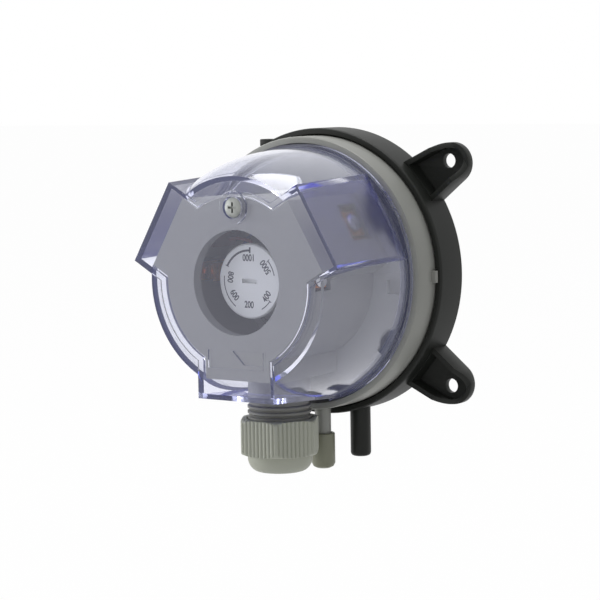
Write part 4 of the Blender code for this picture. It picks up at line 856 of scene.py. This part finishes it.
# Gland nut: a ribbed hexagon over a domed end
nutLow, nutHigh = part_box("gland_nut")
nutForm = {
    "topRaise": 0.5,
    "endRaise": 1.0,
    "domeHeight": 5.1,
    "domeRadius": 9.5,
    "domeFillet": (0.35, 0.3),
    "domeCollar": 0.9,
    "domeRound": 3.4,
    "domeSteps": 10,
    "holeRadius": 4.6,
    "holeRound": 0.3,
    "lipHeight": 0.6,
    "recessRadius": 6.6,
    "boreRadius": 9.6,
    "boreRise": 1.3,
    "cornerBand": 0.95,
    "ribsPerFace": 8,
    "ribDepth": 0.42,
    "ribShape": 1.6,
    "stepsPerRib": 8,
    # how far the two rounded ends of the ribs lie inside the corners, and from the end face
    "topEdge": ((1.5, 0.0), (1.1, 0.1), (0.8, 0.3), (0.55, 0.6), (0.4, 1.0), (0.35, 1.4)),
    "footEdge": ((0.35, 1.5), (0.45, 1.0), (0.7, 0.6), (1.0, 0.3), (1.4, 0.1), (1.8, 0.0)),
}


def nutOutline(form, apothem):
    # (angle, radius, groove) all round, with the grooves between the corner bands of each flat
    half = apothem * math.tan(math.radians(30))
    ribbed = half - form["cornerBand"]
    pitch = 2 * ribbed / form["ribsPerFace"]
    count = form["ribsPerFace"] * form["stepsPerRib"]
    along = [-half, -half + form["cornerBand"] * 0.5]
    along += [-ribbed + 2 * ribbed * step / count for step in range(count + 1)]
    along += [half - form["cornerBand"] * 0.5]
    outline = []
    for face in range(6):
        middle = math.radians(30 + 60 * face)
        for t in along:
            groove = 0.0
            if abs(t) <= ribbed + 1e-6:
                groove = (1 - abs(math.sin(math.pi * (t + ribbed) / pitch))) ** form["ribShape"]
            outline.append((middle + math.atan2(t, apothem), math.hypot(t, apothem), groove))
    return outline


def buildGlandNut(form):
    centre = Vector(((nutLow.x + nutHigh.x) / 2, (nutLow.y + nutHigh.y) / 2, 0))
    top = nutHigh.z / mm + form["topRaise"]
    end = nutLow.z / mm + form["endRaise"]
    bottom = end + form["domeHeight"]
    apothem = (nutHigh.y - nutLow.y) / 2 / mm
    corner = apothem / math.cos(math.radians(30))
    outline = nutOutline(form, apothem)

    def ring(limit, z, ribs):
        points = []
        for turn, radius, groove in outline:
            reach = min(radius - groove * form["ribDepth"] * ribs, limit)
            x = centre.x + math.cos(turn) * reach * mm
            y = centre.y + math.sin(turn) * reach * mm
            points.append(Vector((x, y, z * mm)))
        return points

    dome, hole, bore = form["domeRadius"], form["holeRadius"], form["boreRadius"]
    filletOut, filletHigh = form["domeFillet"]
    collar = bottom - form["domeCollar"]
    lip = end + form["lipHeight"]
    levels = [(corner - inside, top - drop, 1.0) for inside, drop in form["topEdge"]]
    levels += [(corner - inside, bottom + rise, 1.0) for inside, rise in form["footEdge"]]
    levels += [(dome + filletOut, bottom, 0.0), (dome, bottom - filletHigh, 0.0), (dome, collar, 0.0)]
    for index in range(1, form["domeSteps"] + 1):
        turn = math.radians(90 * index / form["domeSteps"])
        reach = dome - form["domeRound"] * (1 - math.cos(turn))
        levels.append((reach, collar - (collar - end) * math.sin(turn), 0.0))
    levels += [
        (hole + form["holeRound"], end, 0.0), (hole, end + form["holeRound"], 0.0), (hole, lip, 0.0),
        (form["recessRadius"], lip, 0.0), (bore, bottom + form["boreRise"], 0.0), (bore, top, 0.0),
    ]
    rings = [ring(*level) for level in levels]
    nut = loft("glandNutRibbed", rings, "nutMoulding", closed=True, sharpAngle=40)
    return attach(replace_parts(nut, "gland_nut"), "gland_nut_body")


buildGlandNut(nutForm)
print("gland nut built")


# Range spring: one coil built as two lengths
springLow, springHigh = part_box("range_spring")
springForm = {
    "turns": 6.0,
    "rearTurns": 1.75,
    "closedTurns": 0.75,
    "closedRise": 0.15,
    "wire": 0.35,
    "stepsPerTurn": 32,
    "wireSides": 10,
    "plungerTravel": 0.8,
    "adjusterTravel": 3.0,
}


def springDepth(form, turn):
    # An even pitch between two end turns that lie almost closed
    low = -springHigh.y / mm + form["wire"]
    high = -springLow.y / mm - form["wire"]
    closed = form["closedTurns"]
    share = min(max((turn - closed) / (form["turns"] - 2 * closed), 0.0), 1.0)
    ends = min(turn, closed) + max(turn - form["turns"] + closed, 0.0)
    return low + form["closedRise"] * ends / closed + (high - low - 2 * form["closedRise"]) * share


def springLength(form, name, first, last):
    radius = (springHigh.x - springLow.x) / 2 / mm - form["wire"]
    rings = []
    for step in range(round((last - first) * form["stepsPerTurn"]) + 1):
        turn = first + step / form["stepsPerTurn"]
        angle = 2 * math.pi * turn
        depth = springDepth(form, turn)
        ring = []
        for side in range(form["wireSides"]):
            bend = 2 * math.pi * side / form["wireSides"]
            x, z = turned(radius + form["wire"] * math.cos(bend), 0.0, angle)
            ring.append(front(x, depth + form["wire"] * math.sin(bend), z))
        rings.append(ring)
    length = loft(name, rings, "zincPlate", sharpAngle=50)
    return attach(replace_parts(length, "range_spring"), "housing")


def buildSpring(form):
    rear = springLength(form, "rangeSpringRear", 0.0, form["rearTurns"])
    fore = springLength(form, "rangeSpringFront", form["rearTurns"], form["turns"])
    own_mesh(rear)
    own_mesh(fore)


buildSpring(springForm)
print("range spring wound")


# Dial print: plain numbers that read from outside, the swept scale lines and their ticks
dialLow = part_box("setpoint_dial")[0]
dialPrint = {
    "lift": 0.012,
    "thickness": 0.03,
    "textHeight": 2.0,
    "textSqueeze": 0.8,
    "bodyShare": 1.35,  # the font's size over the height of its digits
    "boldness": 0.07,
    "lineSteps": 24,
    "numbers": (  # text, angle, radius
        ("1000", 91, 6.8),
        ("5000", 36, 7.1),
        ("800", 172, 6.8),
        ("400", -35, 7.3),
        ("200", -92, 6.8),
        ("600", 218, 6.8),
    ),
    "lines": (  # from angle, to angle, radius, width
        (88, 152, 8.75, 0.6),
        (12, 42, 8.9, 0.28),
        (-62, -38, 8.9, 0.28),
        (172, 236, 8.9, 0.28),
    ),
    "ticks": (  # angle, from radius, to radius, width
        (88, 8.0, 9.7, 0.55),
        (42, 8.3, 9.6, 0.22),
        (152, 8.2, 9.4, 0.25),
        (-38, 8.3, 9.5, 0.22),
    ),
}


def printBar(points, faces, corners, low, high):
    first = len(points)
    points += [front(x, low, z) for x, z in corners] + [front(x, high, z) for x, z in corners]
    count = len(corners)
    faces.append(tuple(range(first, first + count)))
    faces.append(tuple(range(first + 2 * count - 1, first + count - 1, -1)))
    for index in range(count):
        after = (index + 1) % count
        faces.append((first + index, first + after, first + after + count, first + index + count))


def printScale(form, low, high):
    points = []
    faces = []
    steps = form["lineSteps"]
    for start, end, radius, width in form["lines"]:
        turns = [math.radians(start + (end - start) * step / steps) for step in range(steps + 1)]
        inner = [turned(radius - width / 2, 0.0, turn) for turn in turns]
        outer = [turned(radius + width / 2, 0.0, turn) for turn in turns]
        printBar(points, faces, outer + inner[::-1], low, high)
    for angle, inner, outer, width in form["ticks"]:
        ends = ((inner, -width / 2), (outer, -width / 2), (outer, width / 2), (inner, width / 2))
        corners = [turned(reach, side, math.radians(angle)) for reach, side in ends]
        printBar(points, faces, corners, low, high)
    lines = meshPiece("dialScaleLines", points, faces, "printInk")
    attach(lines, "dial_body")


def printNumber(form, text, angle, radius, depth):
    curve = bpy.data.curves.new(f"dialNumber{text}", "FONT")
    curve.body = text
    curve.align_x = "CENTER"
    curve.align_y = "CENTER"
    curve.size = form["textHeight"] * form["bodyShare"] * mm
    curve.extrude = form["thickness"] / 2 * mm
    curve.offset = form["boldness"] * mm
    label = bpy.data.objects.new(curve.name, curve)
    bpy.context.scene.collection.objects.link(label)
    curve.materials.append(finishes["printInk"])
    x, z = turned(1.0, 0.0, math.radians(angle))
    up = Vector((-x, 0, -z))  # the digits' tops point at the centre of the dial
    facing = Vector((0, -1, 0))
    spin = Matrix((up.cross(facing) * form["textSqueeze"], up, facing)).transposed().to_4x4()
    label.matrix_world = Matrix.Translation(front(radius * x, depth, radius * z)) @ spin
    bpy.context.view_layer.update()
    mesh = bpy.data.meshes.new_from_object(label.evaluated_get(bpy.context.evaluated_depsgraph_get()))
    mesh.transform(label.matrix_world)
    number = bpy.data.objects.new(f"dialNumber{text}Print", mesh)
    bpy.context.scene.collection.objects.link(number)
    bpy.data.objects.remove(label)
    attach(number, "dial_body")


def buildDialPrint(form):
    low = -dialLow.y / mm + form["lift"]
    high = low + form["thickness"]
    printScale(form, low, high)
    for text, angle, radius in form["numbers"]:
        printNumber(form, text, angle, radius, (low + high) / 2)


buildDialPrint(dialPrint)
print("dial print laid on")


# Studio: a plain pale floor, a white surround and soft lamps
studio = {
    "floorGap": 0.045,
    "floorReach": 6.0,
    "floorColor": (0.86, 0.86, 0.86),
    "floorRoughness": 0.9,
    "floorWhite": 0.98,  # how much of the floor that the camera sees is plain white
    "surround": 0.27,
    "lamps": (  # name, place from the part's centre, width, watts
        ("topSoftbox", (-0.05, 0.05, 0.85), 0.5, 4.6),
        ("leftSoftbox", (-0.8, -0.38, 0.12), 0.45, 3.2),
        ("rightFill", (0.8, -0.35, 0.25), 0.6, 0.45),
    ),
}


def seenDirectly(tree):
    # 1 for what the camera, a mirror or glass looks at
    path = tree.nodes.new("ShaderNodeLightPath")
    first = addNode(tree, "ShaderNodeMath", operation="MAXIMUM")
    second = addNode(tree, "ShaderNodeMath", operation="MAXIMUM")
    tree.links.new(path.outputs["Is Camera Ray"], first.inputs[0])
    tree.links.new(path.outputs["Is Glossy Ray"], first.inputs[1])
    tree.links.new(first.outputs[0], second.inputs[0])
    tree.links.new(path.outputs["Is Transmission Ray"], second.inputs[1])
    return second.outputs[0]


def buildFloor(setup, height):
    reach = setup["floorReach"]
    square = ((-reach, -reach), (reach, -reach), (reach, reach), (-reach, reach))
    mesh = bpy.data.meshes.new("paleFloor")
    mesh.from_pydata([(x, y, height) for x, y in square], [], [(0, 1, 2, 3)])
    floor = bpy.data.objects.new("paleFloor", mesh)
    bpy.context.scene.collection.objects.link(floor)
    material, tree, shader = newMaterial("paleFloor")
    shader.inputs["Base Color"].default_value = (*setup["floorColor"], 1)
    shader.inputs["Roughness"].default_value = setup["floorRoughness"]
    shader.inputs["Specular IOR Level"].default_value = 0.0
    glow = addNode(tree, "ShaderNodeEmission", Strength=1.0)
    share = addNode(tree, "ShaderNodeMath", operation="MULTIPLY")
    share.inputs[1].default_value = setup["floorWhite"]
    both = tree.nodes.new("ShaderNodeMixShader")
    tree.links.new(seenDirectly(tree), share.inputs[0])
    tree.links.new(share.outputs[0], both.inputs["Fac"])
    tree.links.new(shader.outputs["BSDF"], both.inputs[1])
    tree.links.new(glow.outputs["Emission"], both.inputs[2])
    tree.links.new(both.outputs["Shader"], tree.nodes["Material Output"].inputs["Surface"])
    mesh.materials.append(material)
    floor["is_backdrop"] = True


def buildSurround(setup):
    world = bpy.data.worlds.new("whiteSurround")
    bpy.context.scene.world = world
    world.use_nodes = True
    tree = world.node_tree
    background = tree.nodes["Background"]
    background.inputs["Color"].default_value = (1, 1, 1, 1)
    level = addNode(tree, "ShaderNodeMapRange", To_Min=setup["surround"], To_Max=1.0)
    tree.links.new(seenDirectly(tree), level.inputs["Value"])
    tree.links.new(level.outputs["Result"], background.inputs["Strength"])


def buildLamps(setup, centre):
    for name, offset, size, power in setup["lamps"]:
        data = bpy.data.lights.new(name, "AREA")
        data.shape = "SQUARE"
        data.size = size
        data.energy = power
        lamp = bpy.data.objects.new(name, data)
        lamp.location = centre + Vector(offset)
        lamp.rotation_euler = (-Vector(offset)).to_track_quat("-Z", "Y").to_euler()
        bpy.context.scene.collection.objects.link(lamp)


def buildStudio(setup):
    low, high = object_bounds()
    buildFloor(setup, low.z - setup["floorGap"])
    buildSurround(setup)
    buildLamps(setup, (low + high) / 2)


buildStudio(studio)
bpy.context.scene.view_settings.view_transform = "Standard"
print("studio lit")
